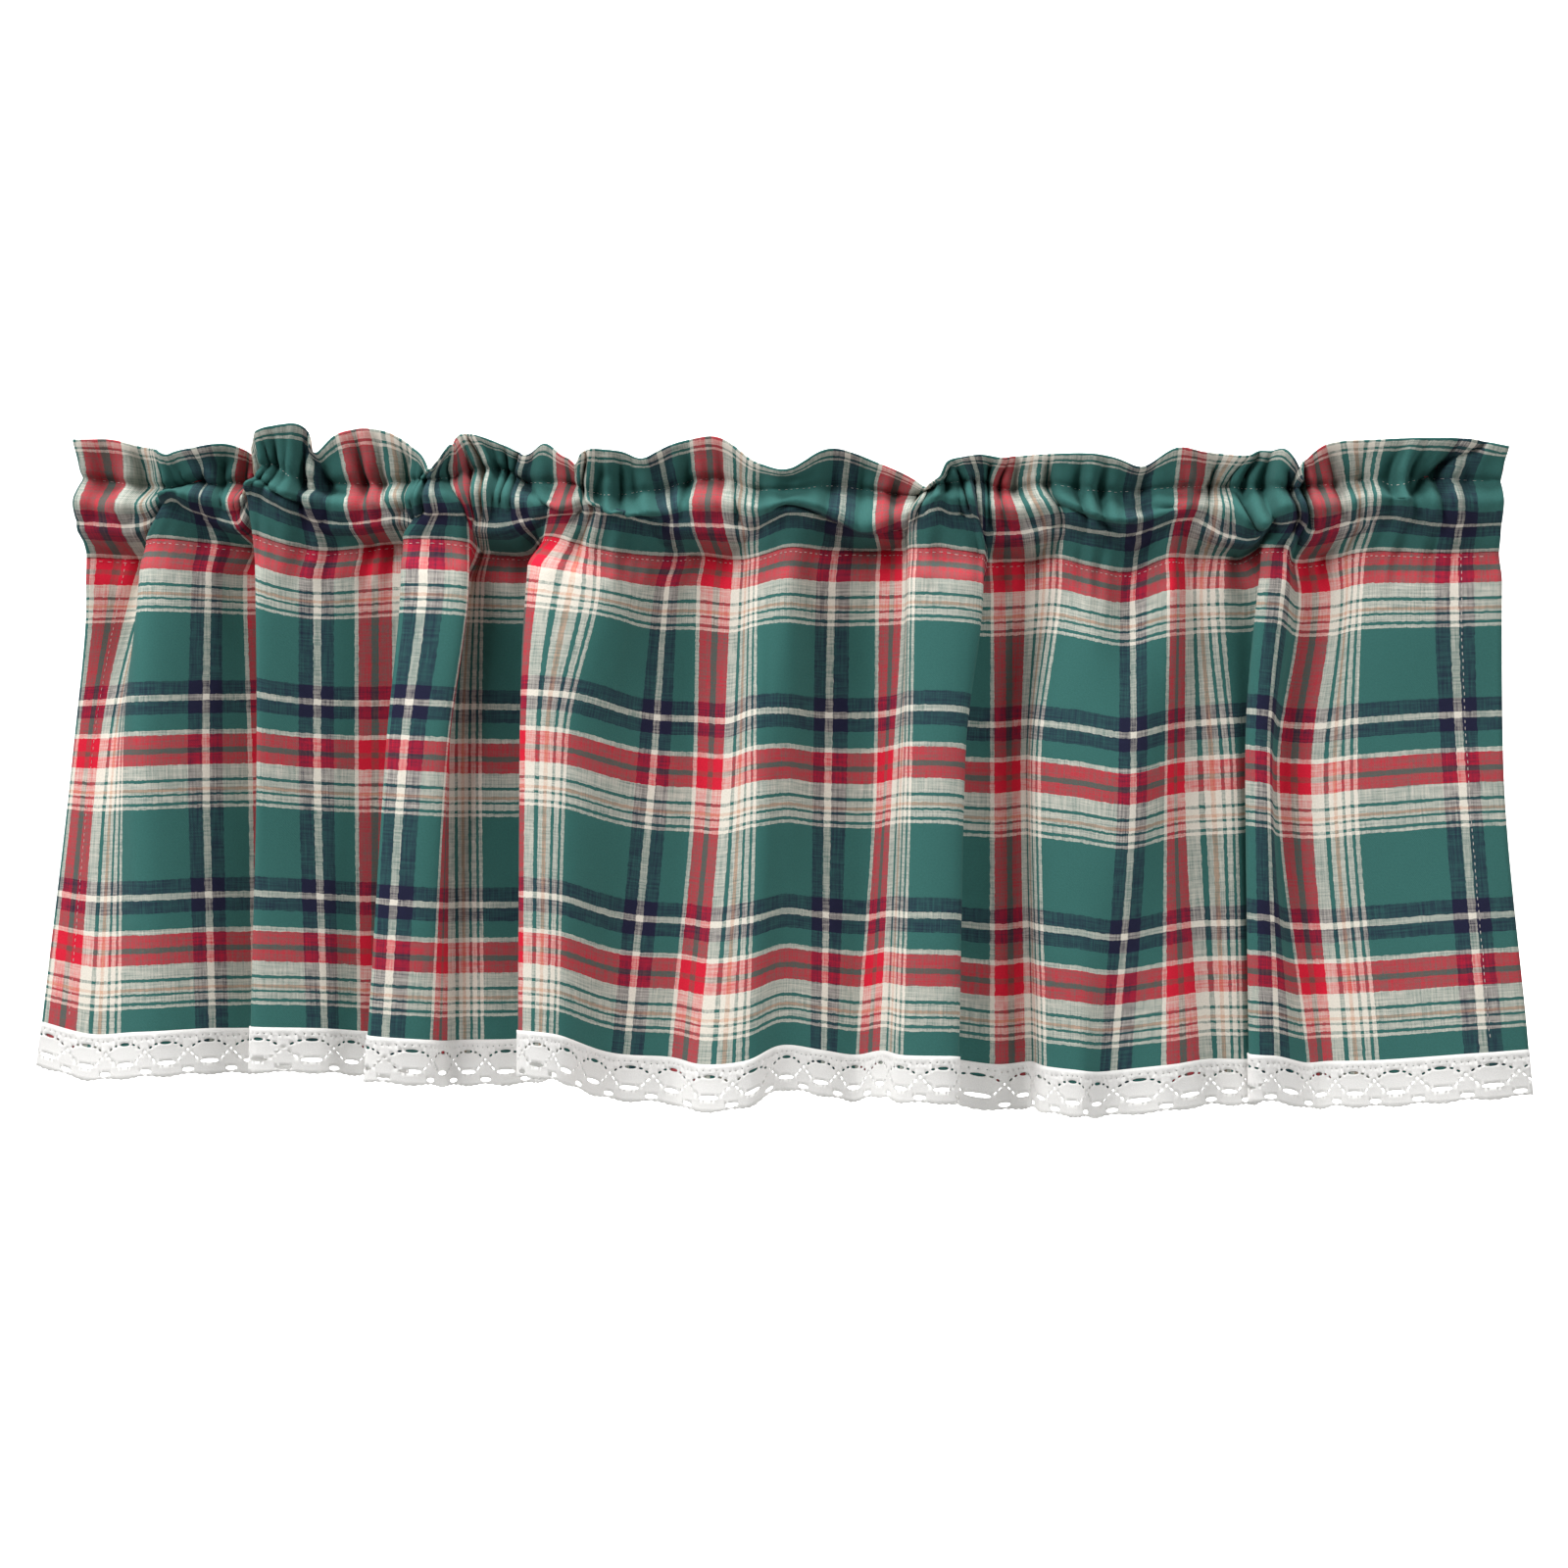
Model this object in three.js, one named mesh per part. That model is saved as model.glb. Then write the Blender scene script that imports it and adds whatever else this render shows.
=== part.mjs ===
// A short tartan curtain panel: a frilled rod pocket, a gathered cloth and a lace edging.
// Millimetres, +Z up. X runs along the rod and the front of the cloth faces -Y.
// The origin is the middle of the rod's line, inside the pocket.
import * as THREE from 'three';

// Cloth and lace
const FLAT_START = -2;
const FLAT_END = 1598;
const CLOTH_THICKNESS = 2;
const SIDE_HEM = 22;
const HEM_THICKNESS = 2.6;
const SKIRT_LENGTH = 337;
const UNDER_LACE = 12;
const LACE_REPEATS = 52;
const LACE_DROP = 32;
const LACE_THICKNESS = 1.2;
const LACE_SCALLOP = 1.6;
const SEAT_GAP = 0.4;

// Heading
const SEAM_Z = -28;
const STITCH_Z = 21;
const SEAM_GAP = 0.3;
const POCKET_WALL = 2.2;
const STITCH_THICKNESS = 3.4;
const FRILL_THICKNESS = 3;
const ROD_CLEARANCE = 13;
const POCKET_SWELL = 9;
const GATHER_AT_SEAM = 0.6;
const GATHER_AT_STITCH = 0.5;
const GATHER_AT_CROWN = 0.85;
const LIFT_AT_SEAM = 0.7;
const LIFT_AT_STITCH = 0.6;

// Heights below the seam at which the fold table gives the cloth's place
const TOP_LEVEL = 21;
const MID_LEVEL = 141;
const HEM_LEVEL = 328;

// Fold lines from left to right. cut is the place across the flat cloth. rod, top, mid and hem are
// X at the rod and at the three levels. outTop, outMid and outHem are how far the line stands
// forward there. lift is how much higher than level it hangs, and crown is the frill's height.
const FOLDS = [
  // cut, rod, top, mid, hem, outTop, outMid, outHem, lift, crown
  [-2, -484, -477, -485, -510, 2, -18, -6, 8, 50],
  [42, -438, -433, -461, -468, -12, 0, 8, 3, 43],
  [78, -428, -433, -436, -435, 20, 26, 22, 9, 42],
  [129, -395, -392, -394, -388, 12, 16, 14, 8, 50],
  [161, -374, -366, -363, -360, -8, 2, -4, 5, 46],
  [186, -368, -352, -348, -345, -20, -14, -18, 4, 44],
  [206, -363, -341, -335, -336, -4, 0, -4, 8, 46],
  [238, -357, -358, -355, -360, 20, 24, 22, 14, 56],
  [289, -318, -317, -316, -309, 8, 12, 12, 10, 51],
  [321, -291, -287, -287, -285, -6, -6, -4, 5, 56],
  [362, -258, -255, -255, -262, -20, -20, -20, 3, 50],
  [390, -246, -236, -236, -250, -4, -4, -4, 5, 38],
  [434, -238, -256, -265, -277, 18, 20, 20, 9, 31],
  [480, -209, -213, -224, -237, 14, 16, 12, 5, 53],
  [514, -203, -214, -223, -222, -14, -14, -8, 0, 53],
  [541, -195, -203, -205, -203, -15, -15, -10, 0, 53],
  [586, -184, -166, -166, -166, -24, -24, -22, 0, 47],
  [612, -172, -150, -150, -152, -6, -6, -6, 5, 39],
  [652, -143, -164, -174, -175, 22, 24, 24, 14, 38],
  [701, -111, -115, -137, -143, 20, 18, 20, 13, 44],
  [769, -69, -71, -81, -98, -14, -12, -14, -8, 44],
  [801, -54, -50, -51, -67, -18, -16, -16, -10, 48],
  [827, -32, -28, -31, -46, -12, -12, -14, -10, 49],
  [861, -9, -10, -10, -16, 14, 14, 4, -5, 33],
  [890, 12, 10, 10, 4, 22, 22, 18, 2, 33],
  [929, 46, 41, 38, 36, -8, -10, -2, -2, 42],
  [961, 70, 72, 71, 60, -18, -18, -18, -6, 33],
  [987, 89, 89, 83, 74, 2, 2, 0, -1, 24],
  [1021, 99, 97, 95, 89, 26, 26, 24, 3, 20],
  [1072, 134, 141, 130, 126, 22, 22, 22, 2, 38],
  [1100, 144, 144, 132, 128, -4, -2, -2, -5, 38],
  [1121, 151, 149, 149, 149, -14, -14, -14, -10, 36],
  [1147, 168, 171, 169, 171, -14, -10, -10, -10, 37],
  [1181, 197, 195, 182, 185, 8, 18, 18, -6, 39],
  [1208, 215, 213, 204, 204, 18, 26, 26, -6, 39],
  [1249, 245, 242, 242, 232, -10, -4, -6, -9, 34],
  [1281, 270, 266, 267, 263, 8, 8, -4, -5, 43],
  [1307, 284, 279, 279, 288, -8, -8, -8, -4, 40],
  [1341, 309, 303, 308, 313, -11, -11, -11, -3, 37],
  [1360, 326, 324, 321, 325, -15, -14, -14, -3, 37],
  [1375, 334, 334, 328, 331, -4, -3, -3, 0, 39],
  [1390, 340, 326, 317, 319, 14, 14, 14, 5, 42],
  [1409, 352, 342, 332, 337, 14, 18, 14, 4, 27],
  [1441, 362, 352, 335, 355, -14, -14, -12, -4, 38],
  [1467, 380, 373, 361, 374, -6, -12, 0, -1, 45],
  [1501, 402, 395, 390, 405, 8, -2, 8, 1, 47],
  [1569, 453, 452, 458, 472, 12, 6, 10, 8, 50],
  [1598, 484, 484, 486, 502, 8, 4, 2, 9, 43],
];

// Levels down the hanging cloth, below the seam
const SKIRT_ROWS = [0, 14, 45, 110, 220, SKIRT_LENGTH, SKIRT_LENGTH + UNDER_LACE];

// One lace repeat: a field with two slits, a plain step, a field with one gap, and a plain step
const SLIT_WIDTH = 11;
const GAP_WIDTH = 9;
const TOP_SLIT = [7.4, 8.8];
const LOW_SLIT = [20.6, 23.4];
const LOW_GAP = [25.6, 28.6];

const TARTAN_GREEN = 0x2f5f55;
const LACE_WHITE = 0xf2efe9;

// Slopes of a smooth curve through given values. A round curve may swing past its values, as cloth
// does at a turn, and a calm one stays between them.
function roundSlope(before, after, rateBefore, rateAfter) {
  return (rateBefore * after + rateAfter * before) / (before + after);
}

function calmSlope(before, after, rateBefore, rateAfter) {
  if (rateBefore * rateAfter <= 0) return 0;
  return 2 * rateBefore * rateAfter / (rateBefore + rateAfter);
}

function slopesThrough(places, values, slopeAt) {
  const last = places.length - 1;
  const steps = places.slice(1).map((place, i) => place - places[i]);
  const rates = steps.map((step, i) => (values[i + 1] - values[i]) / step);
  return places.map((_, i) => {
    if (i === 0) return rates[0];
    if (i === last) return rates[last - 1];
    return slopeAt(steps[i - 1], steps[i], rates[i - 1], rates[i]);
  });
}

// A smooth curve through given values, straight on past both ends
function curveThrough(places, values, slopeAt = roundSlope) {
  const slopes = slopesThrough(places, values, slopeAt);
  const last = places.length - 1;
  return (at) => {
    if (at <= places[0]) return values[0] + slopes[0] * (at - places[0]);
    if (at >= places[last]) return values[last] + slopes[last] * (at - places[last]);
    const i = places.findLastIndex((place) => place <= at);
    const step = places[i + 1] - places[i];
    const t = (at - places[i]) / step;
    const rise = t * t * (3 - 2 * t);
    const leave = t * (1 - t) * (1 - t) * step * slopes[i];
    const arrive = t * t * (t - 1) * step * slopes[i + 1];
    return values[i] * (1 - rise) + values[i + 1] * rise + leave + arrive;
  };
}

const cuts = FOLDS.map((row) => row[0]);
const columnCurve = (column) => curveThrough(cuts, FOLDS.map((row) => row[column]));
const FOLD_CURVES = {
  rod: columnCurve(1),
  top: columnCurve(2),
  mid: columnCurve(3),
  hem: columnCurve(4),
  outTop: columnCurve(5),
  outMid: columnCurve(6),
  outHem: columnCurve(7),
  lift: columnCurve(8),
  crown: columnCurve(9),
};

// One line of the cloth from the seam down, as curves of the depth below the seam
function foldLine(cut) {
  const place = Object.fromEntries(Object.entries(FOLD_CURVES).map(([name, curve]) => [name, curve(cut)]));
  const levels = [0, TOP_LEVEL, MID_LEVEL, HEM_LEVEL];
  const outSeam = place.outTop * GATHER_AT_SEAM;
  const across = curveThrough(levels, [place.rod, place.top, place.mid, place.hem], calmSlope);
  const out = curveThrough(levels, [outSeam, place.outTop, place.outMid, place.outHem], calmSlope);
  const lift = (depth) => place.lift * (LIFT_AT_SEAM + (1 - LIFT_AT_SEAM) * depth / SKIRT_LENGTH);
  return (depth) => new THREE.Vector3(across(depth), -out(depth), SEAM_Z - depth + lift(depth));
}

// The direction that the front of the cloth faces
function facing(cut, depth) {
  const step = 0.5;
  const along = foldLine(cut + step)(depth).sub(foldLine(cut - step)(depth));
  const line = foldLine(cut);
  const down = line(depth + step).sub(line(depth - step));
  return down.cross(along).normalize();
}

const inSideHem = (cut) => cut < FLAT_START + SIDE_HEM || cut > FLAT_END - SIDE_HEM;
const clothThickness = (cut) => (inSideHem(cut) ? HEM_THICKNESS : CLOTH_THICKNESS);

// Column lines across the cloth: both edges of the slit field and of the gap field of each lace repeat
function columnCuts() {
  const pitch = (FLAT_END - FLAT_START) / LACE_REPEATS;
  const plain = (pitch - SLIT_WIDTH - GAP_WIDTH) / 2;
  const offsets = [0, SLIT_WIDTH, SLIT_WIDTH + plain, SLIT_WIDTH + plain + GAP_WIDTH];
  const lines = [];
  for (let repeat = 0; repeat < LACE_REPEATS; repeat += 1) {
    const start = FLAT_START + plain / 2 + repeat * pitch;
    lines.push(...offsets.map((offset) => start + offset));
  }
  lines[0] = FLAT_START;
  lines.push(FLAT_END);
  return lines;
}

const COLUMNS = columnCuts();
const HEADING_STEP = 2;

// A mesh built face by face from named corners
class Shell {
  constructor() {
    this.points = [];
    this.faces = [];
  }

  corner(point) {
    this.points.push(point.x, point.y, point.z);
    return this.points.length / 3 - 1;
  }

  triangle(a, b, c) {
    this.faces.push(a, b, c);
  }

  quad(a, b, c, d) {
    this.triangle(a, b, c);
    this.triangle(a, c, d);
  }

  mesh(name, colour, roughness) {
    const geometry = new THREE.BufferGeometry();
    geometry.setAttribute('position', new THREE.Float32BufferAttribute(this.points, 3));
    geometry.setIndex(this.faces);
    geometry.computeVertexNormals();
    const material = new THREE.MeshStandardMaterial({ color: colour, roughness, metalness: 0 });
    const mesh = new THREE.Mesh(geometry, material);
    mesh.name = name;
    return mesh;
  }
}

// The hanging cloth below the pocket's lower seam
function makePanel() {
  const shell = new Shell();
  const seamLine = (index) => {
    const spare = index % HEADING_STEP;
    if (spare === 0) return foldLine(COLUMNS[index])(0);
    const before = foldLine(COLUMNS[index - spare])(0);
    const after = foldLine(COLUMNS[index - spare + HEADING_STEP])(0);
    return before.lerp(after, spare / HEADING_STEP);
  };
  const grid = COLUMNS.map((cut, index) => SKIRT_ROWS.map((depth) => {
    const middle = depth === 0 ? seamLine(index) : foldLine(cut)(depth);
    const half = clothThickness(cut) / 2;
    const normal = depth === 0 ? new THREE.Vector3(0, -1, 0) : facing(cut, depth);
    const front = shell.corner(middle.clone().addScaledVector(normal, half));
    const back = shell.corner(middle.clone().addScaledVector(normal, -half));
    return { front, back };
  }));
  const lastColumn = COLUMNS.length - 1;
  const lastRow = SKIRT_ROWS.length - 1;
  for (let i = 0; i < lastColumn; i += 1) {
    for (let j = 0; j < lastRow; j += 1) {
      const [a, b, c, d] = [grid[i][j], grid[i][j + 1], grid[i + 1][j + 1], grid[i + 1][j]];
      shell.quad(a.front, b.front, c.front, d.front);
      shell.quad(d.back, c.back, b.back, a.back);
    }
    shell.quad(grid[i][0].back, grid[i][0].front, grid[i + 1][0].front, grid[i + 1][0].back);
    const [low, next] = [grid[i][lastRow], grid[i + 1][lastRow]];
    shell.quad(low.front, low.back, next.back, next.front);
  }
  for (let j = 0; j < lastRow; j += 1) {
    const [a, b] = [grid[0][j], grid[0][j + 1]];
    shell.quad(a.back, b.back, b.front, a.front);
    const [c, d] = [grid[lastColumn][j], grid[lastColumn][j + 1]];
    shell.quad(c.front, d.front, d.back, c.back);
  }
  return shell.mesh('panel', TARTAN_GREEN, 0.9);
}

// One section of the heading: an outer outline from the seam, up the front, over the frill and down
// the back, and the pocket's inside. Points are [forward, up].
function headingSection(cut) {
  const gather = FOLD_CURVES.outTop(cut);
  const lift = FOLD_CURVES.lift(cut);
  const seam = { out: gather * GATHER_AT_SEAM, up: SEAM_Z + SEAM_GAP + lift * LIFT_AT_SEAM };
  const stitch = { out: gather * GATHER_AT_STITCH, up: STITCH_Z + lift * LIFT_AT_STITCH };
  const crown = { out: gather * GATHER_AT_CROWN, up: FOLD_CURVES.crown(cut) };
  const middle = (seam.out + stitch.out) / 2;
  const frontSwell = Math.hypot(POCKET_SWELL, Math.max(0, ROD_CLEARANCE - middle));
  const backSwell = Math.hypot(POCKET_SWELL, Math.max(0, ROD_CLEARANCE + middle));
  const wall = (t, swell) => {
    const out = THREE.MathUtils.lerp(seam.out, stitch.out, t) + swell * Math.sin(Math.PI * t) ** 0.6;
    return [out, THREE.MathUtils.lerp(seam.up, stitch.up, t)];
  };
  const frill = (t, half) => {
    const out = THREE.MathUtils.lerp(stitch.out, crown.out, t) + half;
    return [out, THREE.MathUtils.lerp(stitch.up, crown.up, t)];
  };
  const heights = [0.18, 0.5, 0.82];
  const inward = ([out, up], sign) => [out - sign * POCKET_WALL, up];
  const half = CLOTH_THICKNESS / 2;
  const outer = [
    [seam.out + half, seam.up],
    ...heights.map((t) => wall(t, frontSwell)),
    frill(0, STITCH_THICKNESS / 2),
    frill(0.5, FRILL_THICKNESS / 2),
    frill(1, FRILL_THICKNESS / 2),
    frill(1, -FRILL_THICKNESS / 2),
    frill(0.5, -FRILL_THICKNESS / 2),
    frill(0, -STITCH_THICKNESS / 2),
    ...heights.map((t) => wall(t, -backSwell)).reverse(),
    [seam.out - half, seam.up],
  ];
  const inner = [
    wall(0.07, 0),
    ...heights.map((t) => inward(wall(t, frontSwell), 1)),
    wall(0.94, 0),
    ...heights.map((t) => inward(wall(t, -backSwell), -1)).reverse(),
  ];
  return { outer, inner };
}

// The frill and the rod pocket, open from end to end
function makeHeading() {
  const shell = new Shell();
  const lines = COLUMNS.filter((_, index) => index % HEADING_STEP === 0);
  const sections = lines.map(headingSection);
  const place = (outline, cut) => {
    const across = FOLD_CURVES.rod(cut);
    return outline.map(([out, up]) => shell.corner(new THREE.Vector3(across, -out, up)));
  };
  const rings = sections.map(({ outer, inner }, i) => ({
    outer: place(outer, lines[i]),
    inner: place(inner, lines[i]),
  }));
  const skin = (here, next, flip) => {
    here.forEach((_, k) => {
      const after = (k + 1) % here.length;
      if (flip) shell.quad(here[after], here[k], next[k], next[after]);
      else shell.quad(here[k], here[after], next[after], next[k]);
    });
  };
  for (let i = 0; i + 1 < rings.length; i += 1) {
    skin(rings[i].outer, rings[i + 1].outer, true);
    skin(rings[i].inner, rings[i + 1].inner, false);
  }
  const close = (section, ring, flip) => {
    const asVectors = (outline) => outline.map(([out, up]) => new THREE.Vector2(out, up));
    const contour = asVectors(section.outer);
    const hole = asVectors(section.inner);
    const corners = [...ring.outer, ...ring.inner];
    for (const [a, b, c] of THREE.ShapeUtils.triangulateShape(contour, [hole])) {
      if (flip) shell.triangle(corners[a], corners[c], corners[b]);
      else shell.triangle(corners[a], corners[b], corners[c]);
    }
  };
  close(sections[0], rings[0], false);
  close(sections.at(-1), rings.at(-1), true);
  return shell.mesh('heading', TARTAN_GREEN, 0.9);
}

// The lace strip, lying on the front of the cloth's lower edge, with its slits and gaps cut through
function makeLace() {
  const shell = new Shell();
  const slitLevels = [0, ...TOP_SLIT, ...LOW_SLIT, LACE_DROP];
  const gapLevels = [0, ...LOW_GAP, LACE_DROP - LACE_SCALLOP];
  const isSlitLine = (index) => index % 4 < 2;
  const columns = COLUMNS.map((cut, index) => {
    const levels = isSlitLine(index) ? slitLevels : gapLevels;
    return levels.map((level) => {
      const depth = SKIRT_LENGTH + level;
      const normal = facing(cut, depth);
      const seat = foldLine(cut)(depth).addScaledVector(normal, clothThickness(cut) / 2 + SEAT_GAP);
      const back = shell.corner(seat);
      const front = shell.corner(seat.clone().addScaledVector(normal, LACE_THICKNESS));
      return { front, back };
    });
  });
  const edge = (a, b) => shell.quad(a.front, a.back, b.back, b.front);
  const cell = (left, right, j, k = j) => {
    const [a, b, c, d] = [left[j], left[j + 1], right[k + 1], right[k]];
    shell.quad(a.front, b.front, c.front, d.front);
    shell.quad(d.back, c.back, b.back, a.back);
  };
  const hole = (left, right, j) => {
    const rim = [left[j], right[j], right[j + 1], left[j + 1]];
    rim.forEach((corner, k) => edge(corner, rim[(k + 1) % rim.length]));
  };
  const fan = (many, few, manyOnLeft) => {
    const shown = (a, b, c) => {
      const [p, q, r] = manyOnLeft ? [a, b, c] : [a, c, b];
      shell.triangle(p.front, q.front, r.front);
      shell.triangle(r.back, q.back, p.back);
    };
    const pivots = [0, 0, 0, 1, 3];
    pivots.forEach((pivot, j) => shown(many[j], many[j + 1], few[pivot]));
    shown(many[3], few[1], few[0]);
    shown(many[4], few[2], few[1]);
    shown(many[4], few[3], few[2]);
  };
  for (let i = 0; i + 1 < columns.length; i += 1) {
    const [left, right] = [columns[i], columns[i + 1]];
    const kind = i % 4;
    if (kind === 0) {
      [0, 2, 4].forEach((j) => cell(left, right, j));
      [1, 3].forEach((j) => hole(left, right, j));
    } else if (kind === 1) {
      fan(left, right, true);
    } else if (kind === 2) {
      [0, 2].forEach((j) => cell(left, right, j));
      hole(left, right, 1);
    } else {
      fan(right, left, false);
    }
    edge(right[0], left[0]);
    edge(left.at(-1), right.at(-1));
  }
  const sideEdge = (column, flip) => {
    for (let j = 0; j + 1 < column.length; j += 1) {
      if (flip) edge(column[j + 1], column[j]);
      else edge(column[j], column[j + 1]);
    }
  };
  sideEdge(columns[0], false);
  sideEdge(columns.at(-1), true);
  return shell.mesh('lace_edging', LACE_WHITE, 0.85);
}

const curtain = new THREE.Group();
curtain.add(makeHeading(), makePanel(), makeLace());

export default curtain;
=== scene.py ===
"""A short tartan curtain panel, gathered on a rod pocket, with a cotton lace edging.

The tables are in millimetres and the meshes in metres. X runs along the rod, the front of the cloth
faces -Y and Z is up. The origin is the middle of the rod's line, inside the pocket.
Places on the flat cloth are "cut", across from the left edge, and "weft", down from the thin white
line above the lower seam. Both are also the cloth's UV map, in metres.
"""
import math
from collections import namedtuple
from functools import partial

import bmesh
import bpy
import numpy as np
from bpy.props import FloatProperty, FloatVectorProperty, IntProperty, PointerProperty
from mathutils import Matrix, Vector
from mathutils.geometry import delaunay_2d_cdt


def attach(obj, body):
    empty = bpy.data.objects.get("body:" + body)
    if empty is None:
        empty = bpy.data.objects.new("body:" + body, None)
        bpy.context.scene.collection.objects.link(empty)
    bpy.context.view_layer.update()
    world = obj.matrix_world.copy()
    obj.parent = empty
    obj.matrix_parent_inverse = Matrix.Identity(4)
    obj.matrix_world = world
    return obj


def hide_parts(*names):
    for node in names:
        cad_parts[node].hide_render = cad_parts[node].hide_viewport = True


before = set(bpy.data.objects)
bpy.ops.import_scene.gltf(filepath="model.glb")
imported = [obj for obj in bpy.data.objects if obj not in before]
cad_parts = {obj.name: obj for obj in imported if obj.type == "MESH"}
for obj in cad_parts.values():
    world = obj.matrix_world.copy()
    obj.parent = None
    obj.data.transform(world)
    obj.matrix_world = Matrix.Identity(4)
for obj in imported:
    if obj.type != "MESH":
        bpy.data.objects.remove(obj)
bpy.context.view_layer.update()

bl_info = {
    "name": "Tartan Cafe Curtain",
    "version": (1, 0, 0),
    "blender": (4, 5, 0),
    "location": "View3D > Sidebar > Curtain",
    "description": "Gathered tartan panel with a frilled rod pocket, sewn lines and a lace edging",
    "category": "Object",
}

MM = 0.001
BODY = "root"
UV_NAME = "weave"

# Flat sizes of the cloth
CUT_START = -2.0
CUT_END = 1598.0
SIDE_HEM = 22.0
LOWER_HEM = 11.0
HEM_EDGE = 1.5
SKIRT_LENGTH = 337.0
UNDER_LACE = 12.0
LACE_DROP = 32.0
LACE_REPEATS = 52

# How far past its left edge a fold stands highest, and how much deeper the folds and the creases are
# than their tables say
ROLL = 4.0
DEPTH = 1.25
CREASE_DEPTH = 1.35

# Height of the lower seam where the cloth hangs level
SEAM_Z = -28.0

# Places down the flat cloth
WEFT_CROWN = -92.0
WEFT_FRILL = -75.0
WEFT_STITCH = -58.0
WEFT_BULGE = -40.0
WEFT_ROD = -27.0
WEFT_PALE = -23.0
WEFT_UNDER = -14.0
WEFT_SEAM = 3.5
WEFT_TOP = WEFT_SEAM + 21.0
WEFT_LINE = WEFT_SEAM + 109.0
WEFT_MID = WEFT_SEAM + 141.0
WEFT_HEM = WEFT_SEAM + 328.0
WEFT_END = WEFT_SEAM + SKIRT_LENGTH + UNDER_LACE
WEFT_LACE = WEFT_SEAM + SKIRT_LENGTH

# The cloth's stand at levels of the heading: the share of a fold's depth that it keeps, and how far
# forward it leans
Stand = namedtuple("Stand", "weft share forward")
STANDS = [Stand(*row) for row in (
    (WEFT_CROWN, 0.66, 11.0),
    (WEFT_FRILL, 0.62, 4.5),
    (WEFT_STITCH, 0.55, 1.5),
    (WEFT_UNDER, 0.62, -3.0),
    (WEFT_SEAM, 0.80, -8.0),
    (WEFT_TOP, 1.0, 0.0),
)]

# The pocket's two sides: how far they stand from the rod's line at least and on level cloth, and the
# share of a fold's depth that is added
PocketSide = namedtuple("PocketSide", "least level share")
POCKET_FRONT = PocketSide(14.0, 16.0, 0.45)
POCKET_BACK = PocketSide(7.0, 9.0, -0.6)

# How much of the pocket's room each level has
SWELL = {WEFT_FRILL: 0, WEFT_STITCH: 0, WEFT_BULGE: 1, WEFT_UNDER: 0.22, WEFT_SEAM: 0, WEFT_TOP: 0}

# The pocket is flatter by this share at both ends, over this width
END_FLAT = 0.7
END_REACH = 26

# Clear room from the rod's line, over this half height, and how fast it narrows above and below
ROD_ROOM = 6.3
ROD_TALL = 10
ROD_TAPER = 1.5

# The groove along the upper stitching
GROOVE_DEEP = 3.2
GROOVE_REACH = 4.0

# The cloth turns under at the pale line: how much it is pressed together there and over what height,
# and over what height the line's own rise fades
PALE_PRESS = 0.32
PALE_REACH = 7
RISE_REACH = 16

# The back layer has creases and swells above this place only, and they fade in over this height
BACK_SMOOTH = WEFT_STITCH + 16
BACK_FADE = 12

# The small gathers along a sewn line: how high they are, how far they are shifted to the left, and how
# far they reach above and below the line
Pucker = namedtuple("Pucker", "weft high shift above below")
PUCKERS = [
    Pucker(WEFT_STITCH, 8.6, 0, 26, 34),
    Pucker(WEFT_SEAM, 3.3, 5, 18, 24),
]

# The two layers of the heading: half the gap between them, how soon it opens below the crown, and the
# share of it that sewing takes away, over this height
LAYER_GAP = 0.9
CROWN_OPENS = 2.0
SEWN_FLAT = 0.6
SEWN_REACH = 5.0

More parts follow.
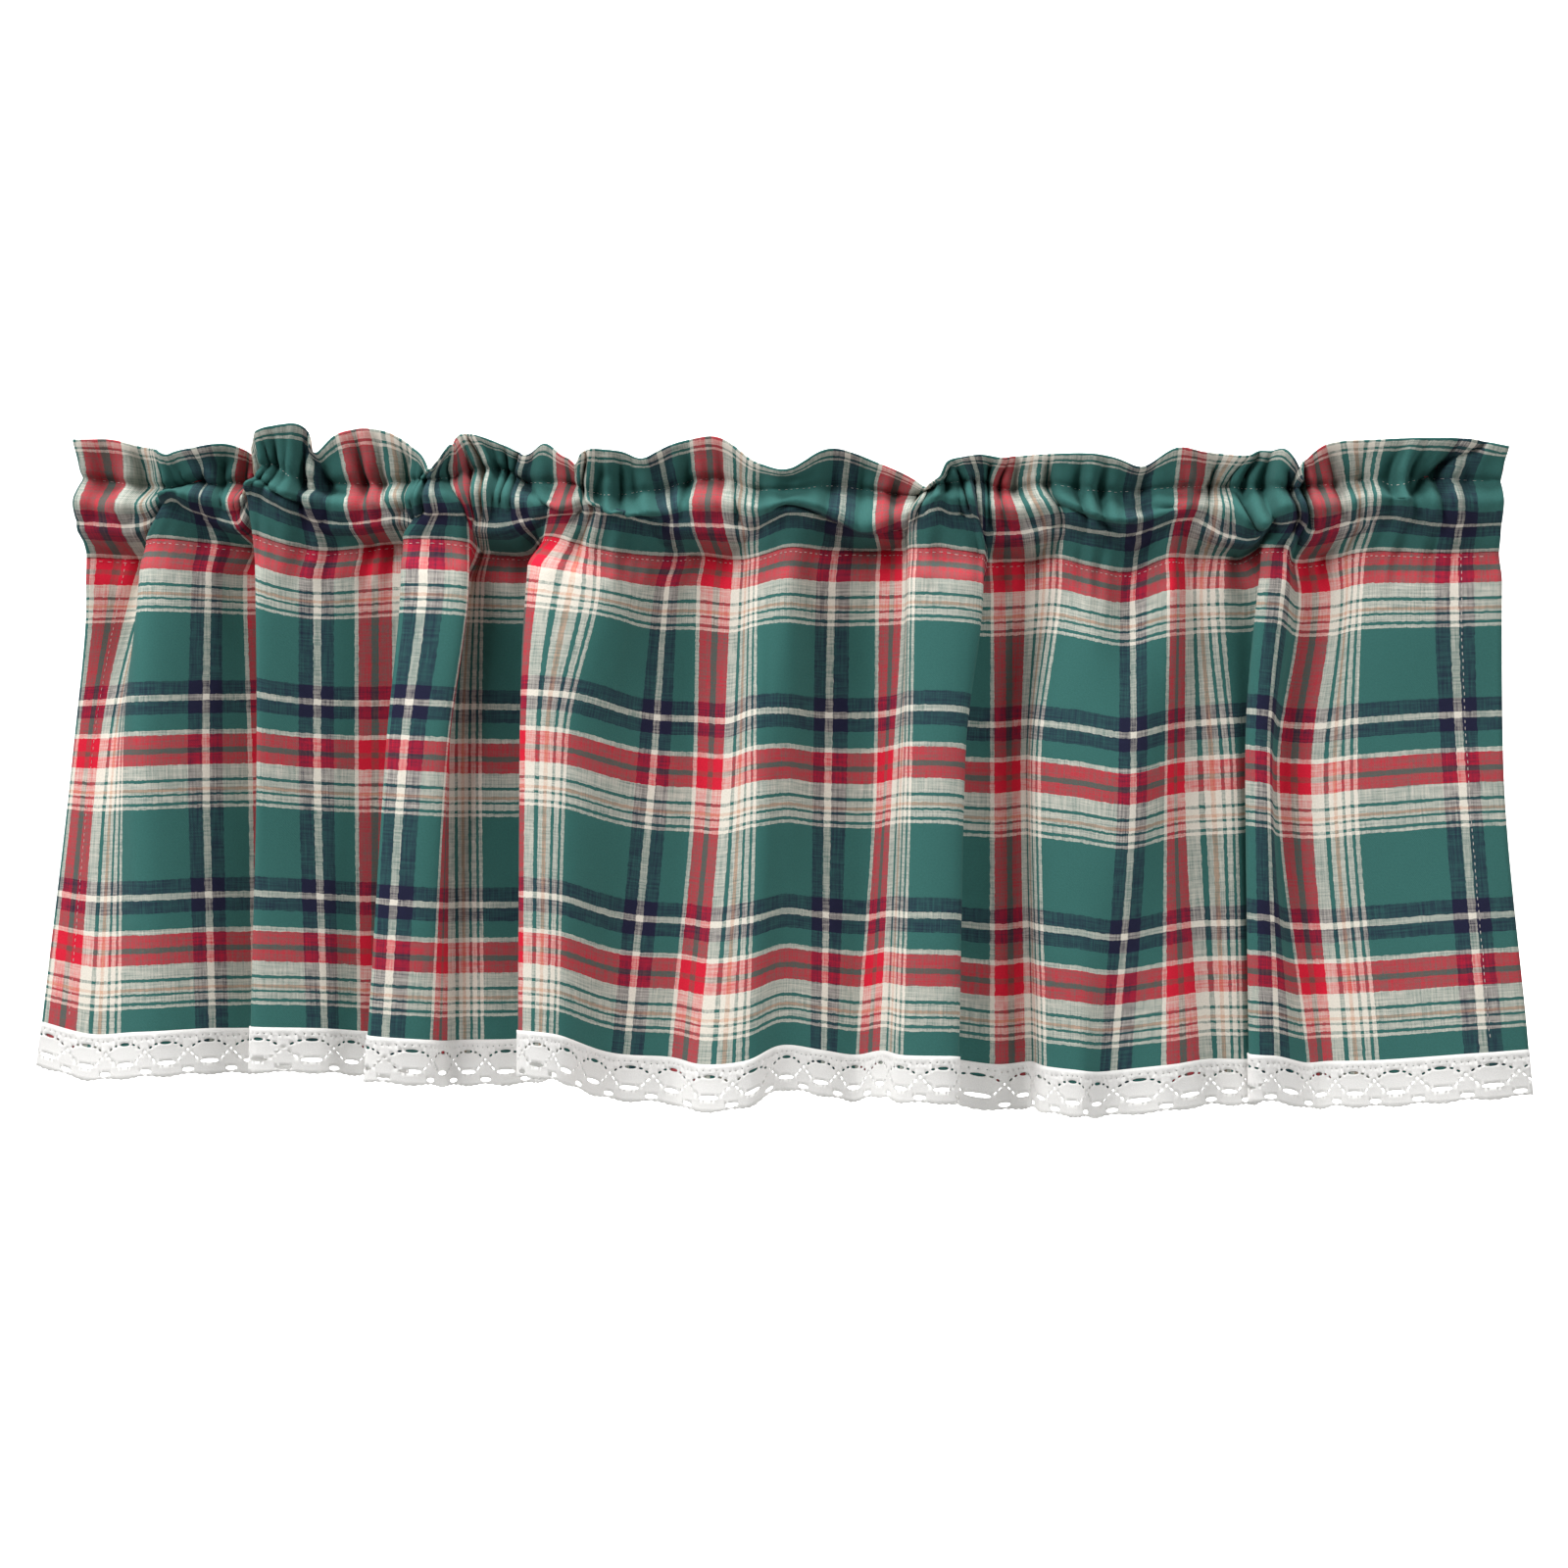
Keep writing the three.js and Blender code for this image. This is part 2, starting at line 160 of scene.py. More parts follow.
# Fold lines from left to right. rod, top, mid and hem are X at the rod and at three levels below the
# seam, out_* how far forward the line stands there, lift_mid and lift how much higher than level it
# hangs below the middle and at the hem, crown the frill's height; seam_x, stitch_x and crown_x are X at
# the seam, the stitching and the frill's top, seam_z and stitch_z the heights of the two sewn lines, and
# line_up the rise of the pale line between them.
Fold = namedtuple(
    "Fold",
    "cut rod top mid hem out_top out_mid out_hem lift_mid lift crown seam_x stitch_x crown_x seam_z"
    " stitch_z line_up",
)
FOLDS = [Fold(*row) for row in (
    (-2, -484, -481, -492, -513, -4, -6, -4, 4, 8, 50, -483, -484, -486, -32, 24, 1),
    (42, -438, -443, -462, -470, -16, 0, 8, 6, 3, 45, -438, -439, -441, -32, 18, 2),
    (78, -416, -433, -436, -433, 20, 26, 22, 10, 9, 43, -432, -417, -419, -20, 17, 7),
    (129, -395, -393, -395, -391, 3, 4, 3, 10, 8, 43, -392, -395, -401, -22, 21, 3),
    (161, -374, -372, -368, -365, -14, -12, -12, 9, 5, 42, -367, -378, -372, -25, 21, -2),
    (186, -368, -352, -348, -345, -23, -23, -23, 9, 4, 44, -357, -366, -364, -24, 21, 0),
    (206, -363, -341, -335, -336, -4, 0, -4, 11, 8, 46, -353, -359, -360, -20, 23, 9),
    (238, -357, -352, -349, -354, 20, 24, 22, 14, 14, 56, -358, -347, -349, -16, 33, 9),
    (289, -318, -317, -317, -311, 3, 3, 5, 7, 10, 53, -315, -320, -318, -27, 22, 2),
    (300, -309, -307, -307, -303, -2, -2, -1, 6, 8, 41, -306, -312, -316, -27, 21, 0),
    (321, -291, -291, -291, -289, -9, -9, -8, 5, 5, 53, -289, -295, -301, -25, 20, -2),
    (362, -258, -255, -255, -262, -17, -17, -17, 5, 3, 55, -258, -264, -267, -22, 20, 0),
    (390, -246, -236, -236, -250, -4, -4, -4, 6, 5, 41, -245, -247, -243, -27, 22, 0),
    (434, -238, -251, -261, -273, 18, 20, 20, 9, 9, 29, -252, -237, -230, -19, 22, 0),
    (480, -209, -206, -220, -232, 14, 16, 12, 7, 5, 48, -209, -220, -216, -21, 24, 0),
    (514, -203, -214, -223, -222, -12, -10, -7, 3, 0, 53, -207, -207, -216, -28, 29, -4),
    (541, -195, -203, -205, -203, -11, -11, -9, 3, 0, 53, -200, -197, -206, -29, 30, -5),
    (586, -184, -166, -166, -166, -18, -18, -17, 3, 0, 44, -171, -183, -182, -29, 28, -4),
    (612, -172, -150, -150, -152, -6, -6, -6, 7, 5, 38, -163, -175, -169, -22, 22, -3),
    (652, -143, -164, -169, -170, 18, 20, 20, 15, 14, 36, -152, -139, -138, -17, 20, 0),
    (701, -111, -115, -137, -143, 25, 23, 23, 14, 13, 42, -117, -122, -118, -26, 15, 8),
    (769, -69, -75, -85, -103, -8, -8, -8, -3, -8, 42, -70, -75, -79, -31, 16, 2),
    (801, -54, -53, -55, -71, -17, -13, -9, -5, -10, 49, -50, -54, -56, -30, 22, -1),
    (827, -32, -29, -33, -49, -10, 3, 8, -5, -10, 48, -28, -33, -33, -33, 22, 0),
    (861, -9, -10, -10, -16, 12, 19, 14, 3, -5, 33, -10, -10, -8, -31, 15, 1),
    (890, 12, 10, 10, 4, 22, 11, 1, 4, 2, 33, 12, 16, 16, -25, 17, 6),
    (929, 46, 38, 35, 33, -5, -8, -6, -1, -2, 40, 40, 47, 50, -27, 18, 2),
    (961, 70, 71, 70, 58, -11, -10, -9, -1, -6, 32, 72, 70, 74, -27, 15, 0),
    (987, 89, 89, 83, 74, 2, 2, 0, 2, -1, 22, 89, 93, 98, -27, 11, 0),
    (1021, 99, 97, 95, 89, 26, 26, 24, 7, 3, 20, 98, 108, 111, -25, 16, 4),
    (1068, 134, 142, 131, 127, 22, 22, 22, 5, 3, 35, 141, 128, 122, -29, 20, 5),
    (1100, 144, 141, 127, 123, -4, -2, -2, -5, -5, 39, 146, 143, 140, -35, 20, -3),
    (1121, 151, 149, 149, 149, -9, -8, -8, -7, -10, 36, 148, 149, 155, -35, 17, -2),
    (1147, 168, 172, 169, 172, -15, -14, -14, -6, -10, 37, 172, 161, 165, -34, 15, -1),
    (1181, 197, 194, 180, 184, 6, 12, 12, -4, -6, 38, 195, 187, 189, -32, 19, 1),
    (1208, 215, 213, 204, 204, 15, 18, 18, -6, -6, 38, 214, 210, 213, -37, 16, 2),
    (1249, 245, 241, 240, 228, 3, 18, 8, -11, -9, 34, 243, 244, 247, -41, 14, 3),
    (1281, 270, 266, 265, 263, 10, 0, 6, -7, -5, 40, 266, 271, 273, -32, 16, 6),
    (1307, 284, 279, 279, 288, -7, -9, -6, -6, -4, 39, 279, 290, 292, -32, 17, 6),
    (1341, 309, 302, 311, 316, -6, -5, -5, -3, -3, 37, 304, 307, 320, -32, 17, -6),
    (1360, 326, 324, 321, 325, -11, -9, -9, -2, -3, 40, 318, 318, 328, -32, 17, -6),
    (1375, 334, 334, 328, 331, -4, -3, -3, 1, 0, 39, 330, 328, 335, -25, 17, 0),
    (1390, 340, 326, 317, 319, 14, 14, 14, 5, 5, 40, 330, 338, 342, -25, 16, 0),
    (1409, 352, 340, 330, 335, 12, 14, 10, 4, 4, 30, 343, 348, 351, -25, 15, 2),
    (1441, 362, 355, 340, 359, -10, -5, -3, -5, -4, 33, 353, 358, 357, -35, 17, -1),
    (1467, 380, 376, 362, 375, -5, 0, 4, -6, -1, 44, 374, 378, 371, -33, 18, 2),
    (1501, 402, 393, 389, 402, 6, 4, 7, -2, 1, 47, 396, 402, 405, -28, 22, 3),
    (1569, 453, 449, 455, 468, 12, 6, 10, 3, 8, 47, 452, 451, 462, -28, 21, -2),
    (1598, 484, 484, 486, 502, 8, 4, 2, 4, 9, 42, 484, 484, 487, -27, 20, -1),
)]

# The columns of the fold table that give X down the cloth
ACROSS = {
    WEFT_CROWN: "crown_x", WEFT_STITCH: "stitch_x", WEFT_ROD: "rod", WEFT_SEAM: "seam_x",
    WEFT_TOP: "top", WEFT_MID: "mid", WEFT_HEM: "hem",
}

# Lobes along the frill's top edge between the fold lines: place, half width and rise
Lobe = namedtuple("Lobe", "cut half rise")
LOBES = [Lobe(*row) for row in (
    (95, 22, -4),
    (150, 16, 5),
    (190, 14, -5),
    (20, 14, 3),
    (262, 14, -2),
    (410, 12, -4),
    (492, 16, -5),
    (632, 12, 10),
    (668, 9, -6),
    (720, 18, -1),
    (755, 14, -5),
    (818, 12, 2),
    (885, 16, -5),
    (915, 14, 3),
    (1000, 14, -4),
    (1046, 12, -3),
    (1085, 20, -2),
    (1252, 14, -5),
    (1281, 14, 2),
    (1380, 14, 1),
    (1420, 9, -8),
    (1540, 26, -1),
)]

# Soft swells and hollows of the heading: the middle, half width and half height on the flat cloth,
# how far it is pushed forward, how far it droops, and how steeply its line falls to the right
Swag = namedtuple("Swag", "cut weft across tall push drop lean")
SWAGS = [Swag(*row) for row in (
    (15, -46, 14, 10, -7, 0, 0.0),
    (92, -30, 22, 17, 7, -7, 0.0),
    (140, -62, 12, 8, 4, 3, 0.2),
    (150, -74, 10, 12, -5, 0, 0.0),
    (162, -46, 10, 12, -6, 0, 0.0),
    (262, -48, 22, 9, 5, 4, -0.2),
    (308, -52, 15, 6, -5, 0, 0.0),
    (334, -46, 18, 11, -8, 0, 0.0),
    (400, -49, 9, 9, 7, 0, 0.0),
    (425, -72, 16, 16, -6, 0, 0.0),
    (568, -44, 26, 16, -9, 0, 0.0),
    (560, -8, 24, 11, -6, 0, 0.0),
    (612, -50, 12, 13, -6, 0, 0.0),
    (628, -50, 14, 10, -6, 0, 0.0),
    (650, -43, 17, 9, 7, 8, 0.3),
    (728, -47, 28, 10, 9, 9, 0.1),
    (718, -70, 16, 8, -4, 0, 0.0),
    (770, -44, 16, 9, -5, 0, 0.0),
    (802, -46, 24, 11, -8, 0, 0.0),
    (762, -10, 20, 13, -5, 0, 0.0),
    (878, -49, 15, 9, 6, 4, -0.3),
    (912, -47, 16, 9, 6, 4, 0.45),
    (950, -37, 26, 14, 8, 13, 0.1),
    (972, -48, 14, 10, -6, 0, 0.0),
    (955, -4, 30, 9, -7, 0, 0.0),
    (1040, -25, 7, 25, 4, -4, 0.0),
    (1058, -25, 6, 20, -4, 0, 0.0),
    (1076, -25, 6, 25, 4, -3, 0.0),
    (1000, -60, 14, 14, -7, 0, 0.0),
    (1230, -46, 34, 9, 6, 8, 0.1),
    (1235, -14, 30, 12, -5, 0, 0.0),
    (1300, -47, 22, 11, -7, 0, 0.0),
    (1330, -52, 9, 8, -5, 0, -0.4),
    (1368, -42, 18, 12, 11, 13, 0.0),
    (1372, -8, 22, 11, -6, 0, 0.0),
    (1522, -52, 18, 9, 8, 9, 0.0),
    (1542, -47, 14, 12, -6, 0, 0.0),
    (1556, -68, 12, 20, -7, 0, -0.5),
    (1586, -44, 10, 12, 6, 2, 0.0),
)]

# Creases pressed into the heading: two ends on the flat cloth, half width, and height, below 0 for
# valleys
Crease = namedtuple("Crease", "cut weft to_cut to_weft wide high")
CREASES = [Crease(*row) for row in (
    (68, -49, 127, -62, 3.5, -6),
    (60, -22, 100, -20, 5, -4),
    (148, -70, 152, -30, 4, -5),
    (190, -85, 186, -30, 4, -7),
    (215, -50, 280, -34, 3.5, -6),
    (290, -50, 315, -47, 4, -7),
    (290, -85, 300, -62, 4, -5),
    (345, -60, 350, -20, 4, -5),
    (380, -75, 378, -20, 5, -7),
    (430, -80, 436, -30, 5, -7),
    (475, -70, 480, -25, 5, -7),
    (505, -60, 512, -15, 4, -5),
    (600, -88, 600, -15, 4, -7),
    (612, -60, 640, -34, 3.5, -5),
    (690, -75, 676, -28, 5, -8),
    (700, -33, 752, -30, 3, -5),
    (788, -60, 790, -12, 5, -6),
    (838, -50, 846, -20, 3, -4),
    (885, -36, 925, -25, 3.5, -6),
    (1006, -52, 1058, -82, 4, -7),
    (1030, -60, 1034, -28, 3, -5),
    (1062, -60, 1060, -25, 3, -5),
    (1085, -60, 1088, -25, 3, -5),
    (1112, -75, 1114, -10, 4.5, -8),
    (1185, -40, 1225, -30, 4, -5),
    (1240, -52, 1275, -40, 4, -5),
    (1318, -70, 1322, -20, 4, -5),
    (1352, -50, 1362, -36, 3.5, -9),
    (1402, -70, 1410, -20, 4, -7),
    (1440, -85, 1436, -30, 4, -7),
    (1480, -62, 1486, -20, 4, -5),
    (1578, -88, 1545, -52, 4, -6),
)]

# The check: the yarns of one repeat, across from the left and down from the top, with their widths and
# how strongly each stripe covers the one that it crosses
Stripe = namedtuple("Stripe", "yarn wide cover")
WARP = [Stripe(*row) for row in (
    ("white", 3.0, 0.45),
    ("red", 9.4, 0.58),
    ("olive", 5.0, 0.5),
    ("red", 9.4, 0.58),
    ("white", 10.0, 0.56),
    ("green", 3.5, 0.5),
    ("white", 3.6, 0.5),
    ("tan", 3.0, 0.5),
    ("white", 4.0, 0.5),
    ("green", 2.4, 0.5),
    ("white", 4.6, 0.5),
    ("green", 2.3, 0.5),
    ("white", 3.2, 0.45),
    ("green", 56.4, 0.5),
    ("navy", 9.2, 0.8),
    ("white", 4.8, 0.3),
    ("navy", 9.2, 0.8),
    ("green", 17.0, 0.5),
)]
WEFT = [Stripe(*row) for row in (
    ("white", 3.1, 0.5),
    ("red", 8.7, 0.64),
    ("olive", 3.7, 0.5),
    ("red", 8.2, 0.64),
    ("white", 9.4, 0.58),
    ("green", 2.1, 0.5),
    ("white", 4.1, 0.55),
    ("tan", 2.3, 0.55),
    ("white", 1.7, 0.5),
    ("green", 1.6, 0.5),
    ("white", 3.9, 0.5),
    ("green", 2.1, 0.5),
    ("white", 2.6, 0.5),
    ("green", 47.8, 0.5),
    ("navy", 9.6, 0.85),
    ("white", 4.4, 0.4),
    ("navy", 9.1, 0.85),
    ("green", 11.27, 0.5),
)]

# Whole repeats that lie left of the first one and above it, or more
REPEATS_LEFT = 2.0
REPEATS_ABOVE = 3.0

# Yarns and twill lines in a metre of cloth, the waves in a metre of the stripes' edges and how far, in
# metres, these stray
CLOTH_YARNS = 800.0
THREAD_YARNS = 2400.0
LACE_YARNS = 1500.0
TWILL_LINES = 900.0
STRAY_WAVES = 260.0
STRAY = 0.0016

# How strongly slubs and the twill change which yarn shows, how thick a slub is against its length, the
# yarns' tone without fuzz and what fuzz adds, the twill's height against the fuzz, and the dull tone of
# plain cotton
SLUB_SHOWS = 0.9
TWILL_SHOWS = 0.5
SLUB_SHAPE = 0.05
PLAIN_TONE = 0.76
FUZZ_TONE = 0.5
TWILL_HIGH = 0.8
DULL_TONE = 0.72

# What every colour setting has
COLOUR = {"subtype": "COLOR", "size": 3, "min": 0, "max": 1}


class CurtainClothSettings(bpy.types.PropertyGroup):
    """Sizes and yarn colours of the tartan cloth"""

    thickness: FloatProperty(
        name="Cloth Thickness", description="Thickness of one layer of cloth",
        default=0.0006, min=0.0002, max=0.003, unit="LENGTH",
    )
    column_step: FloatProperty(
        name="Column Step", description="Mesh step across the flat cloth",
        default=0.0031, min=0.002, max=0.02, unit="LENGTH",
    )
    # Painted shade: the heading's cloth colour is darkened by this factor, standing in for the light
    # that its two layers keep out
    double_layer_painted_shade: FloatProperty(
        name="Double Tone", description="Tone of the cloth where two layers let no light through",
        default=0.8, min=0.3, max=1.0, subtype="FACTOR",
    )
    green: FloatVectorProperty(
        name="Green Yarn", description="Ground of the check",
        **COLOUR, default=(0.035, 0.126, 0.114),
    )
    red: FloatVectorProperty(
        name="Red Yarn", description="Broad bright stripe of the check",
        **COLOUR, default=(0.60, 0.013, 0.036),
    )
    white: FloatVectorProperty(
        name="White Yarn", description="Pale stripes of the check",
        **COLOUR, default=(0.70, 0.655, 0.575),
    )
    navy: FloatVectorProperty(
        name="Navy Yarn", description="Dark stripes of the check",
        **COLOUR, default=(0.013, 0.014, 0.038),
    )
    olive: FloatVectorProperty(
        name="Olive Yarn", description="Dull line in the red stripe",
        **COLOUR, default=(0.17, 0.07, 0.063),
    )
    tan: FloatVectorProperty(
        name="Tan Yarn", description="Warm line between the pale stripes",
        **COLOUR, default=(0.60, 0.38, 0.27),
    )


class CurtainTrimSettings(bpy.types.PropertyGroup):
    """Sizes and colours of the sewing thread and the lace"""

    stitch_length: FloatProperty(
        name="Stitch Length", description="Length of one stitch that shows",
        default=0.0027, min=0.001, max=0.01, unit="LENGTH",
    )
    stitch_pitch: FloatProperty(
        name="Stitch Pitch", description="Distance from stitch to stitch",
        default=0.0046, min=0.002, max=0.02, unit="LENGTH",
    )
    thread_width: FloatProperty(
        name="Thread Width", description="Width of the sewing thread",
        default=0.00045, min=0.0002, max=0.003, unit="LENGTH",
    )
    thread_colour: FloatVectorProperty(
        name="Thread Colour", description="Colour of the sewing thread",
        **COLOUR, default=(0.66, 0.60, 0.56),
    )
    lace_repeats: IntProperty(
        name="Lace Repeats", description="Motifs along the edging",
        default=LACE_REPEATS, min=4, max=200,
    )
    lace_thickness: FloatProperty(
        name="Lace Thickness", description="Thickness of the lace ground",
        default=0.0007, min=0.0003, max=0.003, unit="LENGTH",
    )
    lace_colour: FloatVectorProperty(
        name="Lace Colour", description="Colour of the cotton lace",
        **COLOUR, default=(0.86, 0.85, 0.83),
    )


class CurtainStageSettings(bpy.types.PropertyGroup):
    """Camera, light and floor"""

    camera_distance: FloatProperty(
        name="Camera Distance", description="Distance from the rod's line to the camera",
        default=1.6, min=0.5, max=10, unit="LENGTH",
    )
    camera_turn: FloatProperty(
        name="Camera Turn", description="How far the camera stands round to the right",
        default=math.radians(4.73), subtype="ANGLE",
    )
    side_power: FloatProperty(
        name="Side Lights", description="Power of each soft light at the sides",
        default=18.0, min=0, unit="POWER",
    )
    upper_power: FloatProperty(
        name="Upper Light", description="Power of the soft light above",
        default=48.0, min=0, unit="POWER",
    )
    floor_colour: FloatVectorProperty(
        name="Floor Colour", description="Colour of the plain floor",
        **COLOUR, default=(0.86, 0.86, 0.85),
    )


# Smooth curves

def slopes_through(places, values, calm):
    """Slopes of a smooth curve at its given places; a calm one doesn't swing past its values"""
    steps = np.diff(places)[:, None]
    rates = np.diff(values, axis=0) / steps
    before, after = rates[:-1], rates[1:]
    if calm:
        total = np.where(before * after > 0, before + after, 1)
        inner = np.where(before * after > 0, 2 * before * after / total, 0)
    else:
        inner = (before * steps[1:] + after * steps[:-1]) / (steps[:-1] + steps[1:])
    return np.concatenate([rates[:1], inner, rates[-1:]])


def curve_through(places, values, at, calm=False):
    """Rows of a smooth curve at the places in at, straight on past both ends"""
    places, at = np.asarray(places, float), np.asarray(at, float)
    values = np.asarray(values, float)
    slopes = slopes_through(places, values, calm)
    i = np.clip(np.searchsorted(places, at, side="right") - 1, 0, len(places) - 2)
    step = (places[i + 1] - places[i])[:, None]
    inside = np.clip(at, places[0], places[-1])
    t = ((inside - places[i])[:, None]) / step
    rise = t * t * (3 - 2 * t)
    leave = t * (1 - t) ** 2 * step * slopes[i]
    arrive = t * t * (t - 1) * step * slopes[i + 1]
    found = values[i] * (1 - rise) + values[i + 1] * rise + leave + arrive
    past = (at - inside)[:, None]
    return found + past * np.where(past < 0, slopes[0], slopes[-1])


def fold_values(cuts):
    """Each column of the fold table as a smooth curve across the cloth"""
    table = np.array([list(fold) for fold in FOLDS], float)
    values = curve_through(table[:, 0], table[:, 1:], cuts)
    rolled = curve_through(table[:, 0], table[:, 1:], cuts - ROLL)
    return {
        name: DEPTH * rolled[:, i] if name.startswith("out") else values[:, i]
        for i, name in enumerate(Fold._fields[1:])
    }


# The hanging cloth

def bell(distance):
    """A soft bump: 1 in its middle, fading to both sides"""
    return np.exp(-distance * distance)


def wave(cuts, length, strays, start=0.0):
    """A wave across the cloth whose place strays, each time so far and over such a length"""
    phase = cuts / length
    for far, over in strays:
        phase = phase + far * np.sin(cuts / over)
    return np.sin(phase + start)


def gathers(cuts):
    """Uneven small folds of gathered cloth, about 1 high to either side"""
    slow = wave(cuts, 4.1, [(1.4, 27.0), (0.8, 11.3)])
    quick = wave(cuts, 2.45, [(1.2, 19.0)], start=1.3)
    strong = 0.8 + 0.4 * wave(cuts, 37.0, [(1.5, 90.0)])
    return strong * (0.65 * slow + 0.35 * quick)


def pucker_height(cuts, wefts, pucker):
    """The gathers along a sewn line, fading above and below it"""
    reach = np.where(wefts < pucker.weft, pucker.above, pucker.below)
    fade = bell((wefts - pucker.weft) / reach)[:, None]
    return pucker.high * (gathers(cuts + pucker.shift)[None, :] * fade)


def crease_height(cuts, wefts):
    """Height of the listed creases over the cloth"""
    height = np.zeros((len(wefts), len(cuts)))
    for crease in CREASES:
        start = np.array([crease.cut, crease.weft], float)
        run = np.array([crease.to_cut, crease.to_weft], float) - start
        length = np.hypot(*run)
        side_cut, side_weft = cuts[None, :] - start[0], wefts[:, None] - start[1]
        along = (side_cut * run[0] + side_weft * run[1]) / length
        across = (side_weft * run[0] - side_cut * run[1]) / length
        past = np.maximum(0, np.maximum(-along, along - length))
        fade = bell(across / crease.wide) * bell(past / (2 * crease.wide))
        height += CREASE_DEPTH * crease.high * fade
    return height


def pocket_depth(side, cuts, gather):
    """How far one side of the pocket stands from the rod's line, flatter at both ends of the cloth"""
    left, right = ((cuts - edge) / END_REACH for edge in (CUT_START, CUT_END))
    ends = 1 - END_FLAT * bell(left) - END_FLAT * bell(right)
    return np.maximum(side.least, side.level * ends + side.share * gather)


def cloth_depth(fold, cuts, wefts, side):
    """How far forward the cloth stands, without its swells and creases"""
    gather = fold["out_top"]
    front = pocket_depth(POCKET_FRONT, cuts, gather)
    behind = pocket_depth(POCKET_BACK, cuts, gather)
    stands = {stand.weft: stand.share * gather + stand.forward for stand in STANDS}
    stands[WEFT_BULGE] = (front - behind) / 2
    stands[WEFT_MID] = fold["out_mid"]
    stands[WEFT_HEM] = fold["out_hem"]
    levels = sorted(stands)
    out = curve_through(levels, [stands[level] for level in levels], wefts, calm=True)
    swell = curve_through(list(SWELL), [[share] for share in SWELL.values()], wefts, calm=True)
    out += side * swell * (front + behind) / 2
    out -= GROOVE_DEEP * bell((wefts - WEFT_STITCH) / GROOVE_REACH)[:, None]
    return out + sum(pucker_height(cuts, wefts, pucker) for pucker in PUCKERS)


def share_up(wefts, low, high):
    """How far each place is on its way up from one level to the next, from 0 to 1"""
    return np.clip((low - wefts) / (low - high), 0, 1)[:, None]


def cloth_height(fold, cuts, wefts):
    """How high the cloth hangs, without the droop of its swells"""
    below = np.maximum(0, wefts - WEFT_SEAM)[:, None]
    lifts = [fold["seam_z"] - SEAM_Z, fold["lift_mid"], fold["lift"]]
    levels = [WEFT_SEAM, WEFT_LINE, WEFT_LACE]
    hang = SEAM_Z - below + curve_through(levels, lifts, np.maximum(WEFT_SEAM, wefts), calm=True)
    stitch = fold["stitch_z"]
    crown = fold["crown"] + sum(lobe.rise * bell((cuts - lobe.cut) / lobe.half) for lobe in LOBES)
    pocket = share_up(wefts, WEFT_SEAM, WEFT_STITCH)
    frill = share_up(wefts, WEFT_STITCH, WEFT_CROWN)
    z = hang + (stitch - hang) * pocket + (crown - stitch) * frill
    from_pale = wefts - WEFT_PALE
    pressed = PALE_PRESS * from_pale * bell(from_pale / PALE_REACH)
    return z + (fold["line_up"] * bell(from_pale / RISE_REACH)[:, None] + pressed[:, None])


def cloth_points(cuts, wefts, back=False):
    """Points of the cloth in millimetres, a row for each place down and a column for each across"""
    cuts, wefts = np.asarray(cuts, float), np.asarray(wefts, float)
    fold = fold_values(cuts)
    side = -1.0 if back else 1.0
    x = curve_through(list(ACROSS), [fold[name] for name in ACROSS.values()], wefts, calm=True)
    out = cloth_depth(fold, cuts, wefts, side)
    z = cloth_height(fold, cuts, wefts)
    loose = np.clip((BACK_SMOOTH - wefts) / BACK_FADE, 0, 1)[:, None] if back else 1.0
    for swag in SWAGS:
        down = wefts[:, None] - swag.weft - swag.lean * (cuts - swag.cut)
        soft = loose * bell(down / swag.tall) * bell((cuts - swag.cut) / swag.across)
        out += swag.push * soft
        z -= swag.drop * soft
    out += loose * crease_height(cuts, wefts)
    room = ROD_ROOM - ROD_TAPER * np.maximum(0, np.abs(wefts - WEFT_ROD) - ROD_TALL)[:, None]
    out = side * np.maximum(side * out, room)
    return np.stack([x, -out, z], axis=2)


def facing(points):
    """The direction that the front of a grid of points faces"""
    across = np.gradient(points, axis=1)
    down = np.gradient(points, axis=0)
    normal = np.cross(down, across)
    return normal / np.maximum(1e-9, np.linalg.norm(normal, axis=2))[:, :, None]


def layer_gap(wefts):
    """Half the distance between the two layers of the heading, closed at the fold and when sewn"""
    opened = np.clip((wefts - WEFT_CROWN) / CROWN_OPENS, 0, 1)
    upper, lower = (bell((wefts - line) / SEWN_REACH) for line in (WEFT_STITCH, WEFT_SEAM))
    sewn = 1 - SEWN_FLAT * upper - SEWN_FLAT * lower
    return (LAYER_GAP * np.sqrt(opened) * sewn)[:, None, None]


def heading_points(cuts, rows):
    """The heading's strip of cloth: up the front, over the crown and down the back"""
    back = rows < WEFT_CROWN
    wefts = np.where(back, 2 * WEFT_CROWN - rows, rows)
    front_rows, back_rows = wefts[~back], wefts[back]
    front = cloth_points(cuts, front_rows)
    behind = cloth_points(cuts, back_rows, back=True)
    behind[:, :, 1] = np.maximum(behind[:, :, 1], cloth_points(cuts, back_rows)[:, :, 1])
    front += facing(front[::-1])[::-1] * layer_gap(front_rows)
    behind -= facing(behind) * layer_gap(back_rows)
    return np.concatenate([front, behind])


# Meshes

def grid_faces(rows, columns):
    """The numbers of a grid's points and its faces of four corners"""
    index = np.arange(rows * columns).reshape(rows, columns)
    quads = np.stack([index[:-1, :-1], index[1:, :-1], index[1:, 1:], index[:-1, 1:]], axis=2)
    return index, quads.reshape(-1, 4)


